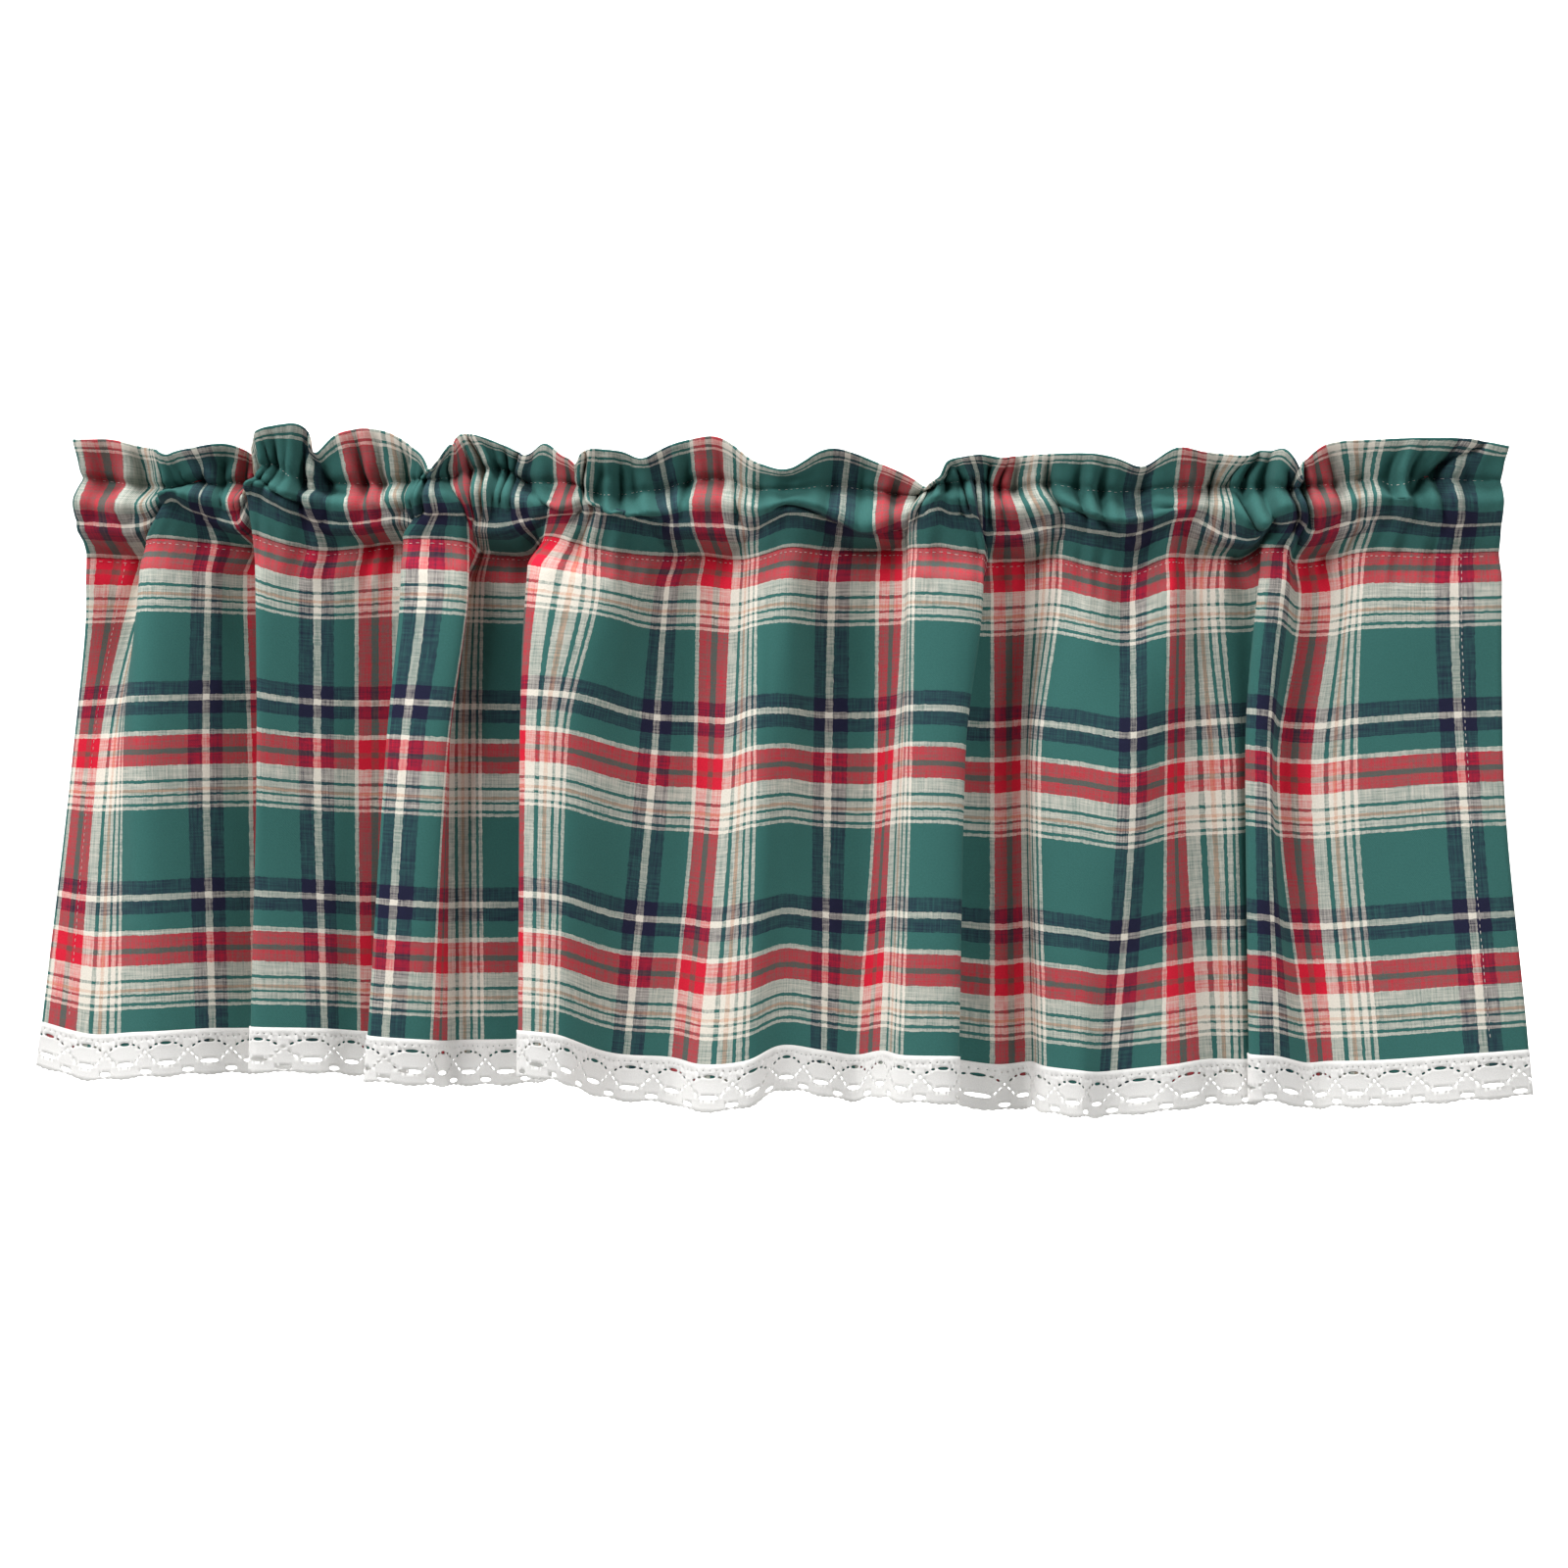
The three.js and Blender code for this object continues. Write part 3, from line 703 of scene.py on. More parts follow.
def finish_mesh(name, points, faces, coords):
    """A smooth mesh in metres with its places on the flat cloth as a UV map"""
    mesh = bpy.data.meshes.new(name)
    mesh.from_pydata((points * MM).tolist(), [], faces.tolist())
    layer = mesh.uv_layers.new(name=UV_NAME)
    loops = np.empty(len(mesh.loops), dtype=np.int32)
    mesh.loops.foreach_get("vertex_index", loops)
    layer.data.foreach_set("uv", (coords[loops] * MM).astype(np.float32).ravel())
    mesh.polygons.foreach_set("use_smooth", np.ones(len(mesh.polygons), dtype=bool))
    mesh.update()
    return mesh


def flat_places(cuts, wefts):
    """The UV places of a grid: across, and up"""
    across, down = np.meshgrid(cuts, wefts)
    return np.stack([across, -down], axis=2).reshape(-1, 2)


def sheet_mesh(name, points, cuts, wefts, front_half, back_half):
    """A closed sheet of cloth on a grid of points, with its own thickness to each side"""
    rows, columns = points.shape[:2]
    normal = facing(points)
    front = points + normal * front_half[:, :, None]
    behind = points - normal * back_half[:, :, None]
    index, quads = grid_faces(rows, columns)
    far = rows * columns
    rim = np.concatenate([index[0, ::-1], index[1:, 0], index[-1, 1:], index[-2:0:-1, -1]])
    after = np.roll(rim, -1)
    edge = np.stack([rim, rim + far, after + far, after], axis=1)
    faces = np.concatenate([quads, quads[:, ::-1] + far, edge])
    places = flat_places(cuts, wefts)
    vertices = np.concatenate([front.reshape(-1, 3), behind.reshape(-1, 3)])
    mesh = finish_mesh(name, vertices, faces, np.concatenate([places, places]))
    sharpen_rim(mesh, len(edge))
    return mesh


def sharpen_rim(mesh, count):
    """Keeps the shading of a sheet's edge apart from its faces"""
    sharp = mesh.attributes.new("sharp_face", "BOOLEAN", "FACE")
    flags = np.zeros(len(mesh.polygons), dtype=bool)
    flags[-count:] = True
    sharp.data.foreach_set("value", flags)


def new_piece(name, mesh):
    piece = bpy.data.objects.new(name, mesh)
    bpy.context.scene.collection.objects.link(piece)
    return piece


def even_steps(start, end, step):
    """Even places from a start to an end, in steps of about this size"""
    return np.linspace(start, end, max(2, round(abs(end - start) / step) + 1))


def row_steps(start, *runs):
    """Places down the cloth from a start; each run goes on to its end in steps of about its size"""
    places = [[start]]
    for end, step in runs:
        places.append(even_steps(places[-1][-1], end, step)[1:])
    return np.concatenate(places)


def hem_step(cuts):
    """The turned-back side hems: 1 over the hem and 0 on the single cloth"""
    from_edge = np.minimum(cuts - CUT_START, CUT_END - cuts)
    return np.clip((SIDE_HEM + HEM_EDGE - from_edge) / HEM_EDGE, 0, 1)


# Materials

def new_material(name):
    """A material and its node tree, still empty"""
    material = bpy.data.materials.new(name)
    material.use_nodes = True
    material.node_tree.nodes.clear()
    return material, material.node_tree


def node(tree, kind, values=None, **settings):
    """A node with its settings and the values or links of its inputs"""
    made = tree.nodes.new(kind)
    for key, value in settings.items():
        setattr(made, key, value)
    for key, value in (values or {}).items():
        socket = made.inputs[key]
        if isinstance(value, bpy.types.NodeSocket):
            tree.links.new(value, socket)
        else:
            socket.default_value = value
    return made


def maths(tree, operation, first, second=0.0, clamp=False):
    made = node(tree, "ShaderNodeMath", {0: first, 1: second}, operation=operation, use_clamp=clamp)
    return made.outputs[0]


def end_in_surface(tree, values):
    """Ends a material in a surface with these inputs"""
    surface = node(tree, "ShaderNodeBsdfPrincipled", values)
    end = node(tree, "ShaderNodeOutputMaterial")
    tree.links.new(surface.outputs[0], end.inputs[0])


def fibre_group():
    """Cotton fibres: fine slubs along and across the cloth, as two masks, and a fuzzy height"""
    found = bpy.data.node_groups.get("cotton_fibres")
    if found:
        return found
    group = bpy.data.node_groups.new("cotton_fibres", "ShaderNodeTree")
    face = group.interface
    face.new_socket(name="Place", in_out="INPUT", socket_type="NodeSocketVector")
    face.new_socket(name="Yarns per Metre", in_out="INPUT", socket_type="NodeSocketFloat")
    for name in ("Along", "Across", "Fuzz"):
        face.new_socket(name=name, in_out="OUTPUT", socket_type="NodeSocketFloat")
    start = group.nodes.new("NodeGroupInput")
    end = group.nodes.new("NodeGroupOutput")
    place, fine = start.outputs["Place"], start.outputs["Yarns per Metre"]
    long = maths(group, "MULTIPLY", fine, SLUB_SHAPE)
    parts = node(group, "ShaderNodeSeparateXYZ", {0: place})

    def noise(where, scale, detail, rough):
        return node(group, "ShaderNodeTexNoise", {
            "Vector": where, "Scale": scale, "Detail": detail, "Roughness": rough,
        }).outputs[0]

    def slubs(x_scale, y_scale):
        where = node(group, "ShaderNodeCombineXYZ", {
            0: maths(group, "MULTIPLY", parts.outputs[0], x_scale),
            1: maths(group, "MULTIPLY", parts.outputs[1], y_scale),
        })
        return noise(where.outputs[0], 1.0, 2.0, 0.6)

    group.links.new(slubs(fine, long), end.inputs["Along"])
    group.links.new(slubs(long, fine), end.inputs["Across"])
    group.links.new(noise(place, fine, 3.0, 0.7), end.inputs["Fuzz"])
    return group


def stripe_ramp(tree, place, stripes, settings):
    """A band of stripes along a place that runs from 0 to 1; alpha is the yarn's cover"""
    ramp = node(tree, "ShaderNodeValToRGB", {0: place})
    ramp.color_ramp.interpolation = "CONSTANT"
    total = sum(stripe.wide for stripe in stripes)
    at = 0.0
    for i, stripe in enumerate(stripes):
        if i < 2:
            stop = ramp.color_ramp.elements[i]
            stop.position = at / total
        else:
            stop = ramp.color_ramp.elements.new(at / total)
        stop.color = (*getattr(settings, stripe.yarn), stripe.cover)
        at += stripe.wide
    return ramp


def tartan_material(settings, name, tone):
    """Yarn-dyed cotton: each place shows the warp or the weft yarn, with slubs and a fine twill; a tone
    below 1 darkens it all as painted shade
    """
    material, tree = new_material(name)
    calc = partial(maths, tree)
    place = node(tree, "ShaderNodeUVMap", uv_map=UV_NAME).outputs[0]
    fibres = node(tree, "ShaderNodeGroup", {
        "Place": place, "Yarns per Metre": CLOTH_YARNS,
    }, node_tree=fibre_group()).outputs
    x, y, _ = node(tree, "ShaderNodeSeparateXYZ", {0: place}).outputs
    waves = node(tree, "ShaderNodeTexNoise", {"Vector": place, "Scale": STRAY_WAVES, "Detail": 2.0})
    stray = calc("MULTIPLY", calc("SUBTRACT", waves.outputs[0], 0.5), STRAY)

    def stripes(chart, along, skipped):
        repeat = sum(stripe.wide for stripe in chart) * MM
        at = calc("FRACT", calc("ADD", calc("DIVIDE", along, repeat), skipped))
        return stripe_ramp(tree, at, chart, settings).outputs

    warp = stripes(WARP, calc("ADD", x, stray), REPEATS_LEFT)
    weft = stripes(WEFT, calc("SUBTRACT", stray, y), REPEATS_ABOVE)
    share = calc("DIVIDE", weft[1], calc("ADD", warp[1], weft[1]))
    slub = calc("SUBTRACT", fibres["Across"], fibres["Along"])
    twill_at = calc("ADD", calc("MULTIPLY", x, TWILL_LINES), calc("MULTIPLY", y, TWILL_LINES))
    twill = calc("SUBTRACT", calc("PINGPONG", twill_at, 0.5), 0.25)
    shown = calc("ADD", share, calc("MULTIPLY", slub, SLUB_SHOWS))
    shown = calc("ADD", shown, calc("MULTIPLY", twill, TWILL_SHOWS), clamp=True)
    mixed = node(tree, "ShaderNodeMix", {"Factor": shown, 6: warp[0], 7: weft[0]}, data_type="RGBA")
    # Fuzz varies the yarns' tone at random; the tone factor also darkens the whole colour, as painted
    # shade on the heading
    light = calc("ADD", calc("MULTIPLY", fibres["Fuzz"], FUZZ_TONE * tone), PLAIN_TONE * tone)
    tinted = node(tree, "ShaderNodeVectorMath", {0: mixed.outputs[2], 1: light}, operation="MULTIPLY")
    height = calc("ADD", calc("MULTIPLY", twill, TWILL_HIGH), fibres["Fuzz"])
    bump = node(tree, "ShaderNodeBump", {"Strength": 0.35, "Distance": 0.0006, "Height": height})
    end_in_surface(tree, {
        "Base Color": tinted.outputs[0], "Roughness": 0.88, "Normal": bump.outputs[0],
        "Specular IOR Level": 0.1, "Sheen Weight": 0.02, "Sheen Roughness": 0.6,
    })
    return material


def cotton_material(name, colour, yarns):
    """Plain spun cotton for the thread and the lace"""
    material, tree = new_material(name)
    place = node(tree, "ShaderNodeTexCoord").outputs["Object"]
    fibres = node(tree, "ShaderNodeGroup", {
        "Place": place, "Yarns per Metre": yarns,
    }, node_tree=fibre_group())
    fuzz = fibres.outputs["Fuzz"]
    dull = tuple(DULL_TONE * c for c in colour)
    tone = node(tree, "ShaderNodeMix", {
        "Factor": fuzz, 6: (*dull, 1), 7: (*colour, 1),
    }, data_type="RGBA")
    bump = node(tree, "ShaderNodeBump", {"Strength": 0.5, "Distance": 0.0005, "Height": fuzz})
    end_in_surface(tree, {
        "Base Color": tone.outputs[2], "Roughness": 0.85, "Normal": bump.outputs[0],
        "Specular IOR Level": 0.2, "Sheen Weight": 0.15,
    })
    return material


# Sewn lines and lace, laid flat by node trees and then wrapped on the cloth

def geometry_tree(name, inputs):
    """A geometry node tree with named inputs; returns it with its two end nodes"""
    tree = bpy.data.node_groups.new(name, "GeometryNodeTree")
    face = tree.interface
    for label, kind in inputs:
        face.new_socket(name=label, in_out="INPUT", socket_type=kind)
    face.new_socket(name="Geometry", in_out="OUTPUT", socket_type="NodeSocketGeometry")
    return tree, tree.nodes.new("NodeGroupInput"), tree.nodes.new("NodeGroupOutput")


def wrap_group():
    """Lays flat pieces on the cloth: x and y are the place on it, and z the height above it"""
    found = bpy.data.node_groups.get("lay_on_cloth")
    if found:
        return found
    tree, start, end = geometry_tree("lay_on_cloth", [
        ("Flat Pieces", "NodeSocketGeometry"), ("Cloth", "NodeSocketObject"),
    ])
    cloth = node(tree, "GeometryNodeObjectInfo", {"Object": start.outputs["Cloth"]})
    here = node(tree, "GeometryNodeInputPosition").outputs[0]
    parts = node(tree, "ShaderNodeSeparateXYZ", {0: here})
    place = node(tree, "ShaderNodeCombineXYZ", {0: parts.outputs[0], 1: parts.outputs[1]})
    weave = node(tree, "GeometryNodeInputNamedAttribute", {"Name": UV_NAME}, data_type="FLOAT_VECTOR")

    def sampled(field):
        return node(tree, "GeometryNodeSampleUVSurface", {
            "Mesh": cloth.outputs["Geometry"], "Value": node(tree, field).outputs[0],
            "UV Map": weave.outputs[0], "Sample UV": place.outputs[0],
        }, data_type="FLOAT_VECTOR").outputs["Value"]

    def vector(operation, values):
        return node(tree, "ShaderNodeVectorMath", values, operation=operation).outputs[0]

    point = sampled("GeometryNodeInputPosition")
    up = vector("NORMALIZE", {0: sampled("GeometryNodeInputNormal")})
    laid = vector("ADD", {0: point, 1: vector("SCALE", {0: up, "Scale": parts.outputs[2]})})
    moved = node(tree, "GeometryNodeSetPosition", {
        "Geometry": start.outputs["Flat Pieces"], "Position": laid,
    })
    tree.links.new(moved.outputs[0], end.inputs[0])
    return tree


def lay_and_dress(tree, start, end, pieces, material):
    """Ends a tree: its flat pieces are laid on the cloth, smoothed and given their material"""
    laid = node(tree, "GeometryNodeGroup", {
        "Flat Pieces": pieces.outputs[0], "Cloth": start.outputs["Cloth"],
    }, node_tree=wrap_group())
    smooth = node(tree, "GeometryNodeSetShadeSmooth", {"Geometry": laid.outputs[0]})
    dressed = node(tree, "GeometryNodeSetMaterial", {
        "Geometry": smooth.outputs[0], "Material": material,
    })
    tree.links.new(dressed.outputs[0], end.inputs[0])


# How far the stitches stay from the cloth's edges and from the lace, and how far the lower line lies
# below its seam
SEWN_INSIDE = 3
ABOVE_LACE = 2
BELOW_SEAM = 2.9

# Sewn lines on the flat cloth: first place, last place
SewnLine = namedtuple("SewnLine", "cut weft to_cut to_weft")
SEWN_LINES = [
    SewnLine(CUT_START + SEWN_INSIDE, weft, CUT_END - SEWN_INSIDE, weft)
    for weft in (WEFT_SEAM + BELOW_SEAM, WEFT_STITCH)
]
SEWN_LINES += [
    SewnLine(cut, WEFT_CROWN + SEWN_INSIDE, cut, WEFT_LACE - ABOVE_LACE)
    for cut in (CUT_START + SIDE_HEM, CUT_END - SIDE_HEM)
]

# In metres: the height of a stitch above the middle of the cloth, and how far it may be off to each
# side and up
STITCH_RISE = 0.0003
STITCH_OFF = 0.0003
STITCH_UP = 0.0002


def stitch_tree(material):
    """Stitches along the sewn lines, each a short thread that dips into the cloth at both ends"""
    tree, start, end = geometry_tree("sewn_lines", [
        ("Cloth", "NodeSocketObject"), ("Stitch Length", "NodeSocketFloat"),
        ("Stitch Pitch", "NodeSocketFloat"), ("Thread Width", "NodeSocketFloat"),
    ])
    sizes = ("Stitch Length", "Stitch Pitch", "Thread Width")
    length, pitch, width = (start.outputs[name] for name in sizes)
    bead = node(tree, "GeometryNodeMeshUVSphere", {"Segments": 6, "Rings": 5, "Radius": 0.5})
    size = node(tree, "ShaderNodeCombineXYZ", {0: length, 1: width, 2: width})
    stitch = node(tree, "GeometryNodeTransform", {"Geometry": bead.outputs[0], "Scale": size.outputs[0]})
    joined = tree.nodes.new("GeometryNodeJoinGeometry")
    for line in SEWN_LINES:
        first = Vector((line.cut, -line.weft, 0)) * MM
        run = Vector((line.to_cut, -line.to_weft, 0)) * MM - first
        ahead = run.normalized()
        step = node(tree, "ShaderNodeVectorMath", {0: ahead, "Scale": pitch}, operation="SCALE")
        row = node(tree, "GeometryNodeMeshLine", {
            "Count": maths(tree, "FLOOR", maths(tree, "DIVIDE", run.length, pitch)),
            "Start Location": first + Vector((0, 0, STITCH_RISE)), "Offset": step.outputs[0],
        })
        off = node(tree, "FunctionNodeRandomValue", {
            0: (-STITCH_OFF, -STITCH_OFF, 0), 1: (STITCH_OFF, STITCH_OFF, STITCH_UP), "Seed": 7,
        }, data_type="FLOAT_VECTOR")
        loose = node(tree, "GeometryNodeSetPosition", {
            "Geometry": row.outputs[0], "Offset": off.outputs[0],
        })
        placed = node(tree, "GeometryNodeInstanceOnPoints", {
            "Points": loose.outputs[0], "Instance": stitch.outputs[0],
            "Rotation": (0, 0, math.atan2(ahead.y, ahead.x)),
        })
        tree.links.new(placed.outputs[0], joined.inputs[0])
    real = node(tree, "GeometryNodeRealizeInstances", {"Geometry": joined.outputs[0]})
    lay_and_dress(tree, start, end, real, material)
    return tree


def lace_tree(material):
    """Lace motifs side by side along the edging, joined and wrapped on the cloth's lower edge"""
    tree, start, end = geometry_tree("lace_repeats", [
        ("Cloth", "NodeSocketObject"), ("Motif", "NodeSocketObject"),
        ("Repeats", "NodeSocketInt"), ("Width", "NodeSocketFloat"),
    ])
    motif, repeats, width = (start.outputs[name] for name in ("Motif", "Repeats", "Width"))
    step = node(tree, "ShaderNodeCombineXYZ", {0: maths(tree, "DIVIDE", width, repeats)})
    row = node(tree, "GeometryNodeMeshLine", {
        "Count": repeats, "Start Location": (CUT_START * MM, -WEFT_LACE * MM, 0),
        "Offset": step.outputs[0],
    })
    repeat = node(tree, "GeometryNodeObjectInfo", {"Object": motif})
    placed = node(tree, "GeometryNodeInstanceOnPoints", {
        "Points": row.outputs[0], "Instance": repeat.outputs["Geometry"],
    })
    real = node(tree, "GeometryNodeRealizeInstances", {"Geometry": placed.outputs[0]})
    joined = node(tree, "GeometryNodeMergeByDistance", {
        "Geometry": real.outputs[0], "Distance": LACE_JOIN,
    })
    lay_and_dress(tree, start, end, joined, material)
    return tree


def run_tree(name, tree, values):
    """A plain mesh object with what a node tree makes"""
    piece = new_piece(name, bpy.data.meshes.new(name))
    modifier = piece.modifiers.new(name, "NODES")
    modifier.node_group = tree
    for item in tree.interface.items_tree:
        if item.in_out == "INPUT":
            modifier[item.identifier] = values[item.name]
    ready = piece.evaluated_get(bpy.context.evaluated_depsgraph_get())
    made = bpy.data.meshes.new_from_object(ready)
    piece.modifiers.clear()
    piece.data = made
    made.name = name
    return piece


def seat_for(name, cuts, wefts):
    """A bare grid on the front of the cloth that other pieces are laid on"""
    points = cloth_points(cuts, wefts)
    _, quads = grid_faces(len(wefts), len(cuts))
    mesh = finish_mesh(name, points.reshape(-1, 3), quads, flat_places(cuts, wefts))
    return new_piece(name, mesh)


def drop_piece(piece):
    mesh = piece.data
    bpy.data.objects.remove(piece)
    bpy.data.meshes.remove(mesh)


# One lace repeat, flat: across from its left side, and down from the top edge. Its mesh has this many
# columns and rows, and this many steps along the lower edge and down each side
MOTIF_MIDDLE = 8.19
MOTIF_COLUMNS = 12
MOTIF_ROWS = 12
ROW_STEP = 2.6
EDGE_STEPS = 36
SIDE_STEPS = 7
SIDE_STEP = 4.0

# The lower edge: where it hangs, how far its scallops and its loops reach, and the loops of a repeat
LACE_EDGE = LACE_DROP - 1.5
SCALLOP = 0.8
LOOP = 0.7
LOOPS = 6

# Height of the lace's back above the cloth, the rise of its corded edges, and how close two corners are
# the same, here and in metres
LACE_BASE = 0.35
CORD_RISE = 0.25
SAME_PLACE = 1e-3
LACE_JOIN = 0.00003

# A gap this much wider than tall is a lens, with its sides bowed by this power
LENS_SHAPE = 1.5
LENS_BOW = 0.85

# The gaps of a repeat: how far they lie from its middle and down, their size, their turn in degrees and
# their corners
Gap = namedtuple("Gap", "across down wide tall turn corners")
LACE_GAPS = [Gap(*row) for row in (
    (0.0, 8.1, 8.0, 2.4, 0, 12),
    (-7.0, 8.7, 2.8, 1.7, -12, 8),
    (7.0, 8.7, 2.8, 1.7, 12, 8),
    (-11.0, 10.8, 2.8, 1.6, -35, 8),
    (11.0, 10.8, 2.8, 1.6, 35, 8),
    (15.385, 13.4, 1.6, 1.6, 0, 8),
    (-12.3, 16.4, 3.2, 1.0, 45, 8),
    (12.3, 16.4, 3.2, 1.0, -45, 8),
    (-9.2, 19.6, 3.0, 1.2, 45, 8),
    (9.2, 19.6, 3.0, 1.2, -45, 8),
    (0.0, 22.0, 13.4, 2.9, 0, 14),
    (15.385, 27.2, 8.6, 3.0, 0, 10),
    (-4.5, 4.2, 0.9, 0.9, 0, 6),
    (0.0, 4.2, 0.9, 0.9, 0, 6),
    (4.5, 4.2, 0.9, 0.9, 0, 6),
    (9.0, 4.6, 0.9, 0.9, 0, 6),
    (-9.0, 4.6, 0.9, 0.9, 0, 6),
    (13.4, 5.4, 0.9, 0.9, 0, 6),
    (-13.4, 5.4, 0.9, 0.9, 0, 6),
)]


def gap_outline(gap, across):
    """The corners of one gap, a lens with pointed ends, or a small round hole"""
    turn = math.radians(gap.turn)
    power = LENS_BOW if gap.wide > LENS_SHAPE * gap.tall else 1
    corners = []
    for i in range(gap.corners):
        angle = 2 * math.pi * i / gap.corners
        bow = abs(math.sin(angle)) ** power
        x = gap.wide / 2 * math.cos(angle)
        y = gap.tall / 2 * math.copysign(bow, math.sin(angle))
        corners.append((
            across + x * math.cos(turn) - y * math.sin(turn),
            gap.down + x * math.sin(turn) + y * math.cos(turn),
        ))
    return corners


def inside(corners, x, y):
    """Whether a place lies within an outline"""
    found = False
    for (x0, y0), (x1, y1) in zip(corners, corners[1:] + corners[:1]):
        if (y0 > y) != (y1 > y) and x < (x1 - x0) * (y - y0) / (y1 - y0) + x0:
            found = not found
    return found


def lace_edge(across, pitch):
    """How far down the scalloped lower edge with its small loops reaches"""
    turn = math.pi * (across - MOTIF_MIDDLE) / pitch
    return LACE_EDGE + SCALLOP * math.cos(2 * turn) + LOOP * abs(math.sin(LOOPS * turn))


def motif_outline(pitch):
    """The corners of one lace repeat"""
    corners = [(pitch * i / MOTIF_COLUMNS, 0.0) for i in range(MOTIF_COLUMNS + 1)]
    corners += [(pitch, SIDE_STEP * i) for i in range(1, SIDE_STEPS + 1)]
    for i in range(EDGE_STEPS, -1, -1):
        across = pitch * i / EDGE_STEPS
        corners.append((across, lace_edge(across, pitch)))
    return corners + [(0.0, SIDE_STEP * i) for i in range(SIDE_STEPS, 0, -1)]


def lace_motif(settings):
    """One flat lace repeat: a thin slab with its gaps cut through and corded edges round them"""
    pitch = (CUT_END - CUT_START) / settings.lace_repeats
    gaps = []
    for gap in LACE_GAPS:
        for shift in (-pitch, 0, pitch):
            middle = MOTIF_MIDDLE + gap.across + shift
            if -gap.wide < middle < pitch + gap.wide:
                gaps.append(gap_outline(gap, middle))
    outline = motif_outline(pitch)

    def in_gap(x, y):
        return any(inside(ring, x, y) for ring in gaps)

    points, edges = [], []
    for ring in [outline, *gaps]:
        first = len(points)
        points += [Vector(corner) for corner in ring]
        edges += [(first + i, first + (i + 1) % len(ring)) for i in range(len(ring))]
    for i in range(1, MOTIF_COLUMNS):
        for j in range(1, MOTIF_ROWS):
            spot = (pitch * i / MOTIF_COLUMNS, ROW_STEP * j)
            if not in_gap(*spot):
                points.append(Vector(spot))
    flat, _, faces, *_ = delaunay_2d_cdt(points, edges, [], 0, 1e-4)
    kept = []
    for face in faces:
        x = sum(flat[i].x for i in face) / 3
        y = sum(flat[i].y for i in face) / 3
        if inside(outline, x, y) and not in_gap(x, y):
            kept.append(face)
    return lace_slab(flat, kept, pitch, settings.lace_thickness / MM)


def lace_slab(flat, faces, pitch, thickness):
    """Gives the flat lace its thickness, with walls in its gaps and a raised cord on every edge"""
    borders = [pair for face in faces for pair in zip(face, face[1:] + face[:1])]
    shared = set(borders)

    def on_cut(a, b):
        """Whether a border lies on a side where the next repeat goes on"""
        ends = [flat[a].x, flat[b].x]
        upright = abs(ends[0] - ends[1]) < SAME_PLACE
        return upright and all(min(abs(x), abs(x - pitch)) < SAME_PLACE for x in ends)

    walls = [(a, b) for a, b in borders if (b, a) not in shared and not on_cut(a, b)]
    corded = {i for pair in walls for i in pair}
    bm = bmesh.new()
    low = [bm.verts.new((p.x * MM, -p.y * MM, LACE_BASE * MM)) for p in flat]
    high = []
    for i, p in enumerate(flat):
        rise = CORD_RISE if i in corded else 0.0
        high.append(bm.verts.new((p.x * MM, -p.y * MM, (LACE_BASE + thickness + rise) * MM)))
    for face in faces:
        a, b, c = face
        turn = (flat[b] - flat[a]).cross(flat[c] - flat[a])
        order = (a, c, b) if turn > 0 else (a, b, c)
        bm.faces.new([high[i] for i in order])
        bm.faces.new([low[i] for i in reversed(order)])
    for a, b in walls:
        bm.faces.new([low[a], low[b], high[b], high[a]])
    bmesh.ops.delete(bm, geom=[v for v in bm.verts if not v.link_faces], context="VERTS")
    mesh = bpy.data.meshes.new("lace_motif")
    bm.to_mesh(mesh)
    bm.free()
    return new_piece("lace_motif", mesh)


def close_ends(mesh):
    """Closes the two cut ends of the lace strip and turns its faces outwards"""
    bm = bmesh.new()
    bm.from_mesh(mesh)
    bmesh.ops.holes_fill(bm, edges=[edge for edge in bm.edges if edge.is_boundary], sides=0)
    bmesh.ops.recalc_face_normals(bm, faces=bm.faces[:])
    bm.to_mesh(mesh)
    bm.free()


# Mesh steps: near the lower seam and below it, down the heading's front and back, across the heading
# and the lace, and the closest rows below the crown
SEAM_STEP = 3.0
PANEL_STEP = 4.6
POCKET_STEP = 2.2
FRILL_STEP = 2.4
BACK_POCKET_STEP = 4.4
BACK_FRILL_STEP = 4.0
SEWING_STEP = 6.0
HEADING_COLUMN = 2.8
LACE_COLUMN = 2.0
CROWN_ROWS = (0.2, 0.6, 1.2)
BELOW_CROWN = 2

# How far the closer rows go below the seam, on the panel and under the stitches
PANEL_NEAR = 60
SEWING_NEAR = 12

# How far the seats of other pieces go on past the cloth and past the lace
SEWING_SPARE = 3
LACE_SPARE = 6
LACE_BELOW = 8

# Extra thickness of the turned hems at the back, and the height over which the lower one starts
SIDE_HEM_THICK = 1.0
LOWER_HEM_THICK = 0.6
LOWER_HEM_EDGE = 2


# Operators

class CURTAIN_OT_panel_cloth(bpy.types.Operator):
    """Hangs the tartan panel below the pocket's lower seam"""

    bl_idname = "curtain.panel_cloth"
    bl_label = "Panel Cloth"

    def execute(self, context):
        settings = context.scene.curtain_cloth
        cuts = even_steps(CUT_START, CUT_END, settings.column_step / MM)
        wefts = row_steps(WEFT_SEAM, (WEFT_SEAM + PANEL_NEAR, SEAM_STEP), (WEFT_END, PANEL_STEP))
        points = cloth_points(cuts, wefts)
        half = np.full(points.shape[:2], settings.thickness / MM / 2)
        hem = SIDE_HEM_THICK * hem_step(cuts)[None, :]
        turned = np.clip((wefts - WEFT_END + LOWER_HEM) / LOWER_HEM_EDGE, 0, 1)[:, None]
        back = half + np.maximum(hem, LOWER_HEM_THICK * turned)
        mesh = sheet_mesh("panel_cloth", points, cuts, wefts, half, back)
        piece = new_piece("panel_cloth", mesh)
        mesh.materials.append(tartan_material(settings, "tartan_single", 1.0))
        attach(piece, BODY)
        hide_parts("panel")
        return {"FINISHED"}


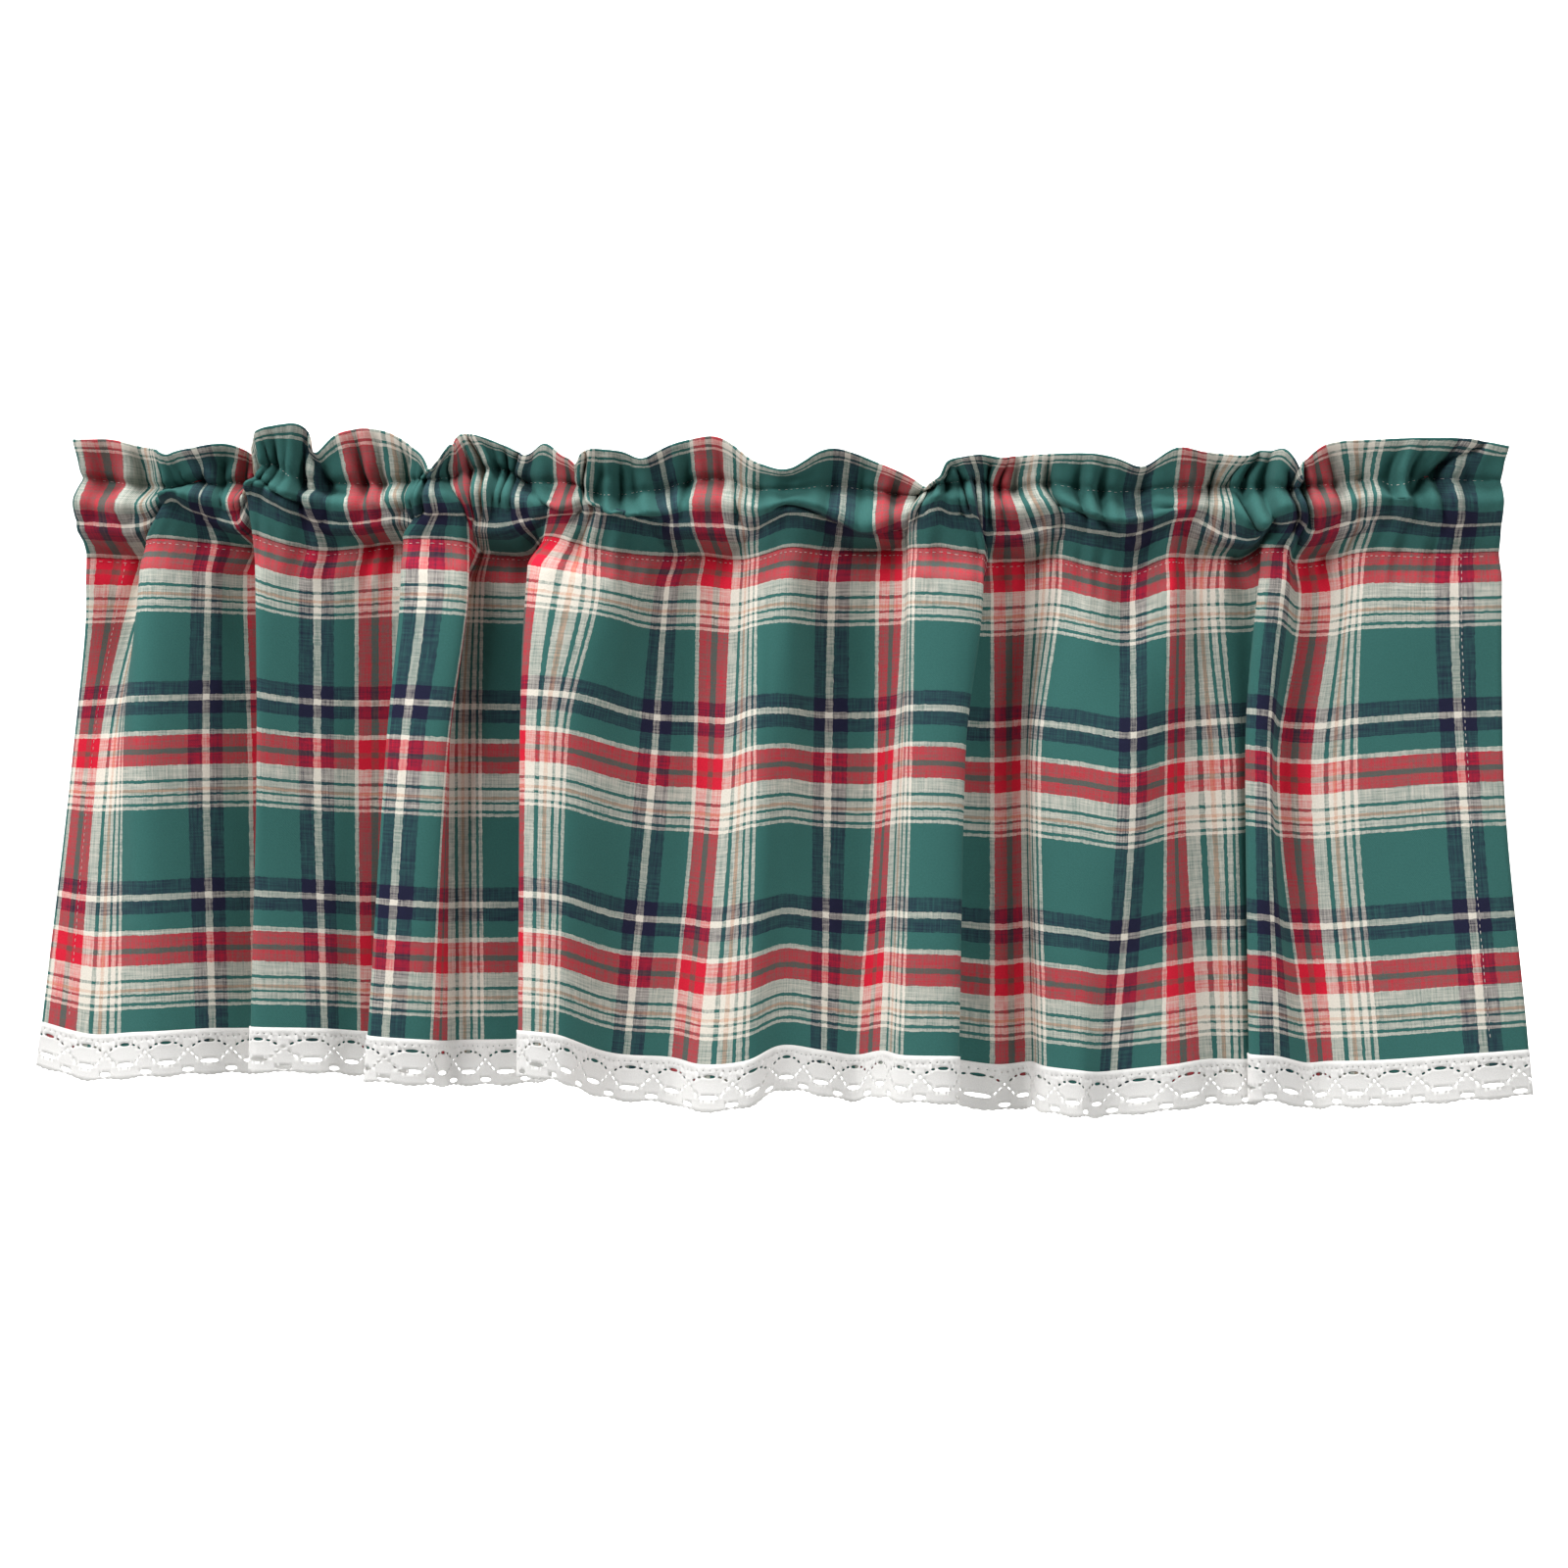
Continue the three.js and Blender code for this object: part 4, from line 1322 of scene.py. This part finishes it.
class CURTAIN_OT_heading_cloth(bpy.types.Operator):
    """Gathers the cloth's turned-down top into the rod pocket and the frill"""

    bl_idname = "curtain.heading_cloth"
    bl_label = "Heading Cloth"

    def execute(self, context):
        settings = context.scene.curtain_cloth
        cuts = even_steps(CUT_START, CUT_END, HEADING_COLUMN)
        crown = WEFT_CROWN + np.array(CROWN_ROWS)
        below = WEFT_CROWN + BELOW_CROWN
        front = row_steps(WEFT_SEAM, (WEFT_STITCH, POCKET_STEP), (below, FRILL_STEP))
        behind = row_steps(below, (WEFT_STITCH, BACK_FRILL_STEP), (WEFT_SEAM, BACK_POCKET_STEP))
        behind = 2 * WEFT_CROWN - np.concatenate([crown, behind])
        rows = np.concatenate([front, crown[::-1], [WEFT_CROWN], behind])
        points = heading_points(cuts, rows)
        points, rows = points[::-1], rows[::-1]
        half = np.full(points.shape[:2], settings.thickness / MM / 2)
        mesh = sheet_mesh("heading_cloth", points, cuts, rows, half, half)
        piece = new_piece("heading_cloth", mesh)
        # The heading gets a darker copy of the tartan: painted shade for its doubled cloth
        mesh.materials.append(tartan_material(settings, "tartan_double", settings.double_layer_painted_shade))
        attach(piece, BODY)
        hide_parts("heading")
        return {"FINISHED"}


class CURTAIN_OT_sewn_lines(bpy.types.Operator):
    """Sews the two lines across the heading and the side hems"""

    bl_idname = "curtain.sewn_lines"
    bl_label = "Sewn Lines"

    def execute(self, context):
        trim = context.scene.curtain_trim
        cuts = even_steps(CUT_START - SEWING_SPARE, CUT_END + SEWING_SPARE, HEADING_COLUMN)
        wefts = row_steps(WEFT_CROWN, (WEFT_SEAM + SEWING_NEAR, POCKET_STEP), (WEFT_END, SEWING_STEP))
        seat = seat_for("sewing_seat", cuts, wefts)
        thread = cotton_material("sewing_thread", tuple(trim.thread_colour), THREAD_YARNS)
        piece = run_tree("sewn_lines", stitch_tree(thread), {
            "Cloth": seat, "Stitch Length": trim.stitch_length,
            "Stitch Pitch": trim.stitch_pitch, "Thread Width": trim.thread_width,
        })
        drop_piece(seat)
        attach(piece, BODY)
        return {"FINISHED"}


class CURTAIN_OT_lace_edging(bpy.types.Operator):
    """Sews the cotton lace over the panel's lower edge"""

    bl_idname = "curtain.lace_edging"
    bl_label = "Lace Edging"

    def execute(self, context):
        trim = context.scene.curtain_trim
        cuts = even_steps(CUT_START - LACE_SPARE, CUT_END + LACE_SPARE, LACE_COLUMN)
        wefts = even_steps(WEFT_LACE - LACE_SPARE, WEFT_LACE + LACE_DROP + LACE_BELOW, SEAM_STEP)
        seat = seat_for("lace_seat", cuts, wefts)
        motif = lace_motif(trim)
        cotton = cotton_material("cotton_lace", tuple(trim.lace_colour), LACE_YARNS)
        piece = run_tree("lace", lace_tree(cotton), {
            "Cloth": seat, "Motif": motif, "Repeats": trim.lace_repeats,
            "Width": (CUT_END - CUT_START) * MM,
        })
        drop_piece(seat)
        drop_piece(motif)
        close_ends(piece.data)
        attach(piece, BODY)
        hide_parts("lace_edging")
        return {"FINISHED"}


# The stage, in metres: the place that the camera looks at, its lens and sensor in millimetres, and how
# far that place lies above the picture's middle, in pixels of a picture of this side
CAMERA_TARGET = (0.0084, 0, -0.0187)
LENS = 54
SENSOR = 36
PICTURE_SIDE = 1600
PICTURE_RISE = 250

# The lamps: where they stand, what they light, their side, and the power of what isn't a setting
LEFT_PLACE = (-2.06, -1.19, 0.62)
RIGHT_PLACE = (2.02, -1.41, 0.28)
UPPER_PLACE = (-1.10, -1.57, 1.46)
LIT_PLACE = (0, 0, -0.15)
WALL_LAMP_PLACE = (0, 0.5, 2.8)
WALL_LIT_PLACE = (0, 2.4, -0.4)
SIDE_LAMP = 0.9
UPPER_LAMP = 1.0
WALL_LAMP = 2.4
WALL_POWER = 150.0
WALL_SPREAD = math.radians(90)
SKY_STRENGTH = 0.18

# The floor and the backdrop that it bends up into
FLOOR_Z = -1.5
FLOOR_FRONT = -5.0
FLOOR_NEAR = -2.0
WALL_Y = 2.4
WALL_MID = 1.6
WALL_TOP = 4.5
BEND = 1.0
BEND_STEPS = 12
HALF_WIDTH = 6.0


def soft_light(name, place, target, size, power):
    """A square lamp at a place, turned to what it lights"""
    lamp = bpy.data.lights.new(name, "AREA")
    lamp.shape = "SQUARE"
    lamp.size = size
    lamp.energy = power
    light = bpy.data.objects.new(name, lamp)
    light.location = place
    light.rotation_euler = (Vector(target) - Vector(place)).to_track_quat("-Z", "Y").to_euler()
    bpy.context.scene.collection.objects.link(light)
    return light


def sweep_floor(colour):
    """A pale floor that bends up into a plain backdrop"""
    start = WALL_Y - BEND
    profile = [(y, FLOOR_Z) for y in (FLOOR_FRONT, FLOOR_NEAR, start)]
    for i in range(1, BEND_STEPS + 1):
        angle = math.pi / 2 * i / BEND_STEPS
        profile.append((start + BEND * math.sin(angle), FLOOR_Z + BEND - BEND * math.cos(angle)))
    profile += [(WALL_Y, WALL_MID), (WALL_Y, WALL_TOP)]
    points = [(side * HALF_WIDTH, y, z) for y, z in profile for side in (-1, 1)]
    faces = [(2 * i, 2 * i + 1, 2 * i + 3, 2 * i + 2) for i in range(len(profile) - 1)]
    mesh = bpy.data.meshes.new("studio_floor")
    mesh.from_pydata(points, [], faces)
    mesh.polygons.foreach_set("use_smooth", [True] * len(faces))
    material, tree = new_material("studio_paper")
    end_in_surface(tree, {"Base Color": (*colour, 1), "Roughness": 0.95})
    mesh.materials.append(material)
    return new_piece("studio_floor", mesh)


class CURTAIN_OT_stage(bpy.types.Operator):
    """Sets the camera, the soft light and the plain floor"""

    bl_idname = "curtain.stage"
    bl_label = "Stage"

    def execute(self, context):
        settings = context.scene.curtain_stage
        scene = context.scene
        lens = bpy.data.cameras.new("camera")
        lens.sensor_width = SENSOR
        lens.lens = LENS
        lens.shift_y = -PICTURE_RISE / PICTURE_SIDE
        camera = bpy.data.objects.new("camera", lens)
        turn = settings.camera_turn
        away = Vector((math.sin(turn), -math.cos(turn), 0))
        camera.location = Vector(CAMERA_TARGET) + settings.camera_distance * away
        camera.rotation_euler = (math.pi / 2, 0, turn)
        scene.collection.objects.link(camera)
        scene.camera = camera
        scene.view_settings.view_transform = "Standard"
        soft_light("left_light", LEFT_PLACE, LIT_PLACE, SIDE_LAMP, settings.side_power)
        soft_light("right_light", RIGHT_PLACE, LIT_PLACE, SIDE_LAMP, settings.side_power)
        soft_light("upper_light", UPPER_PLACE, LIT_PLACE, UPPER_LAMP, settings.upper_power)
        wall = soft_light("backdrop_light", WALL_LAMP_PLACE, WALL_LIT_PLACE, WALL_LAMP, WALL_POWER)
        wall.data.spread = WALL_SPREAD
        world = bpy.data.worlds.new("soft_sky")
        world.use_nodes = True
        sky = world.node_tree.nodes["Background"]
        sky.inputs[0].default_value = (1, 1, 1, 1)
        sky.inputs[1].default_value = SKY_STRENGTH
        scene.world = world
        sweep_floor(tuple(settings.floor_colour))
        return {"FINISHED"}


class CURTAIN_PT_sidebar(bpy.types.Panel):
    """Lists the curtain's pieces and sizes"""

    bl_idname = "CURTAIN_PT_sidebar"
    bl_label = "Cafe Curtain"
    bl_space_type = "VIEW_3D"
    bl_region_type = "UI"
    bl_category = "Curtain"

    def draw(self, context):
        for name, made in SETTINGS.items():
            box = self.layout.box()
            for setting in made.__annotations__:
                box.prop(getattr(context.scene, name), setting)
        for operator in OPERATORS:
            self.layout.operator(operator.bl_idname)


SETTINGS = {
    "curtain_cloth": CurtainClothSettings,
    "curtain_trim": CurtainTrimSettings,
    "curtain_stage": CurtainStageSettings,
}
OPERATORS = (
    CURTAIN_OT_panel_cloth,
    CURTAIN_OT_heading_cloth,
    CURTAIN_OT_sewn_lines,
    CURTAIN_OT_lace_edging,
    CURTAIN_OT_stage,
)


def register():
    for made in (*SETTINGS.values(), *OPERATORS, CURTAIN_PT_sidebar):
        bpy.utils.register_class(made)
    for name, made in SETTINGS.items():
        setattr(bpy.types.Scene, name, PointerProperty(type=made))


def unregister():
    for name in SETTINGS:
        delattr(bpy.types.Scene, name)
    for made in (CURTAIN_PT_sidebar, *reversed(OPERATORS), *reversed(SETTINGS.values())):
        bpy.utils.unregister_class(made)


def main():
    register()
    bpy.ops.curtain.panel_cloth()
    bpy.ops.curtain.heading_cloth()
    bpy.ops.curtain.sewn_lines()
    bpy.ops.curtain.lace_edging()
    bpy.ops.curtain.stage()


if __name__ == "__main__":
    main()
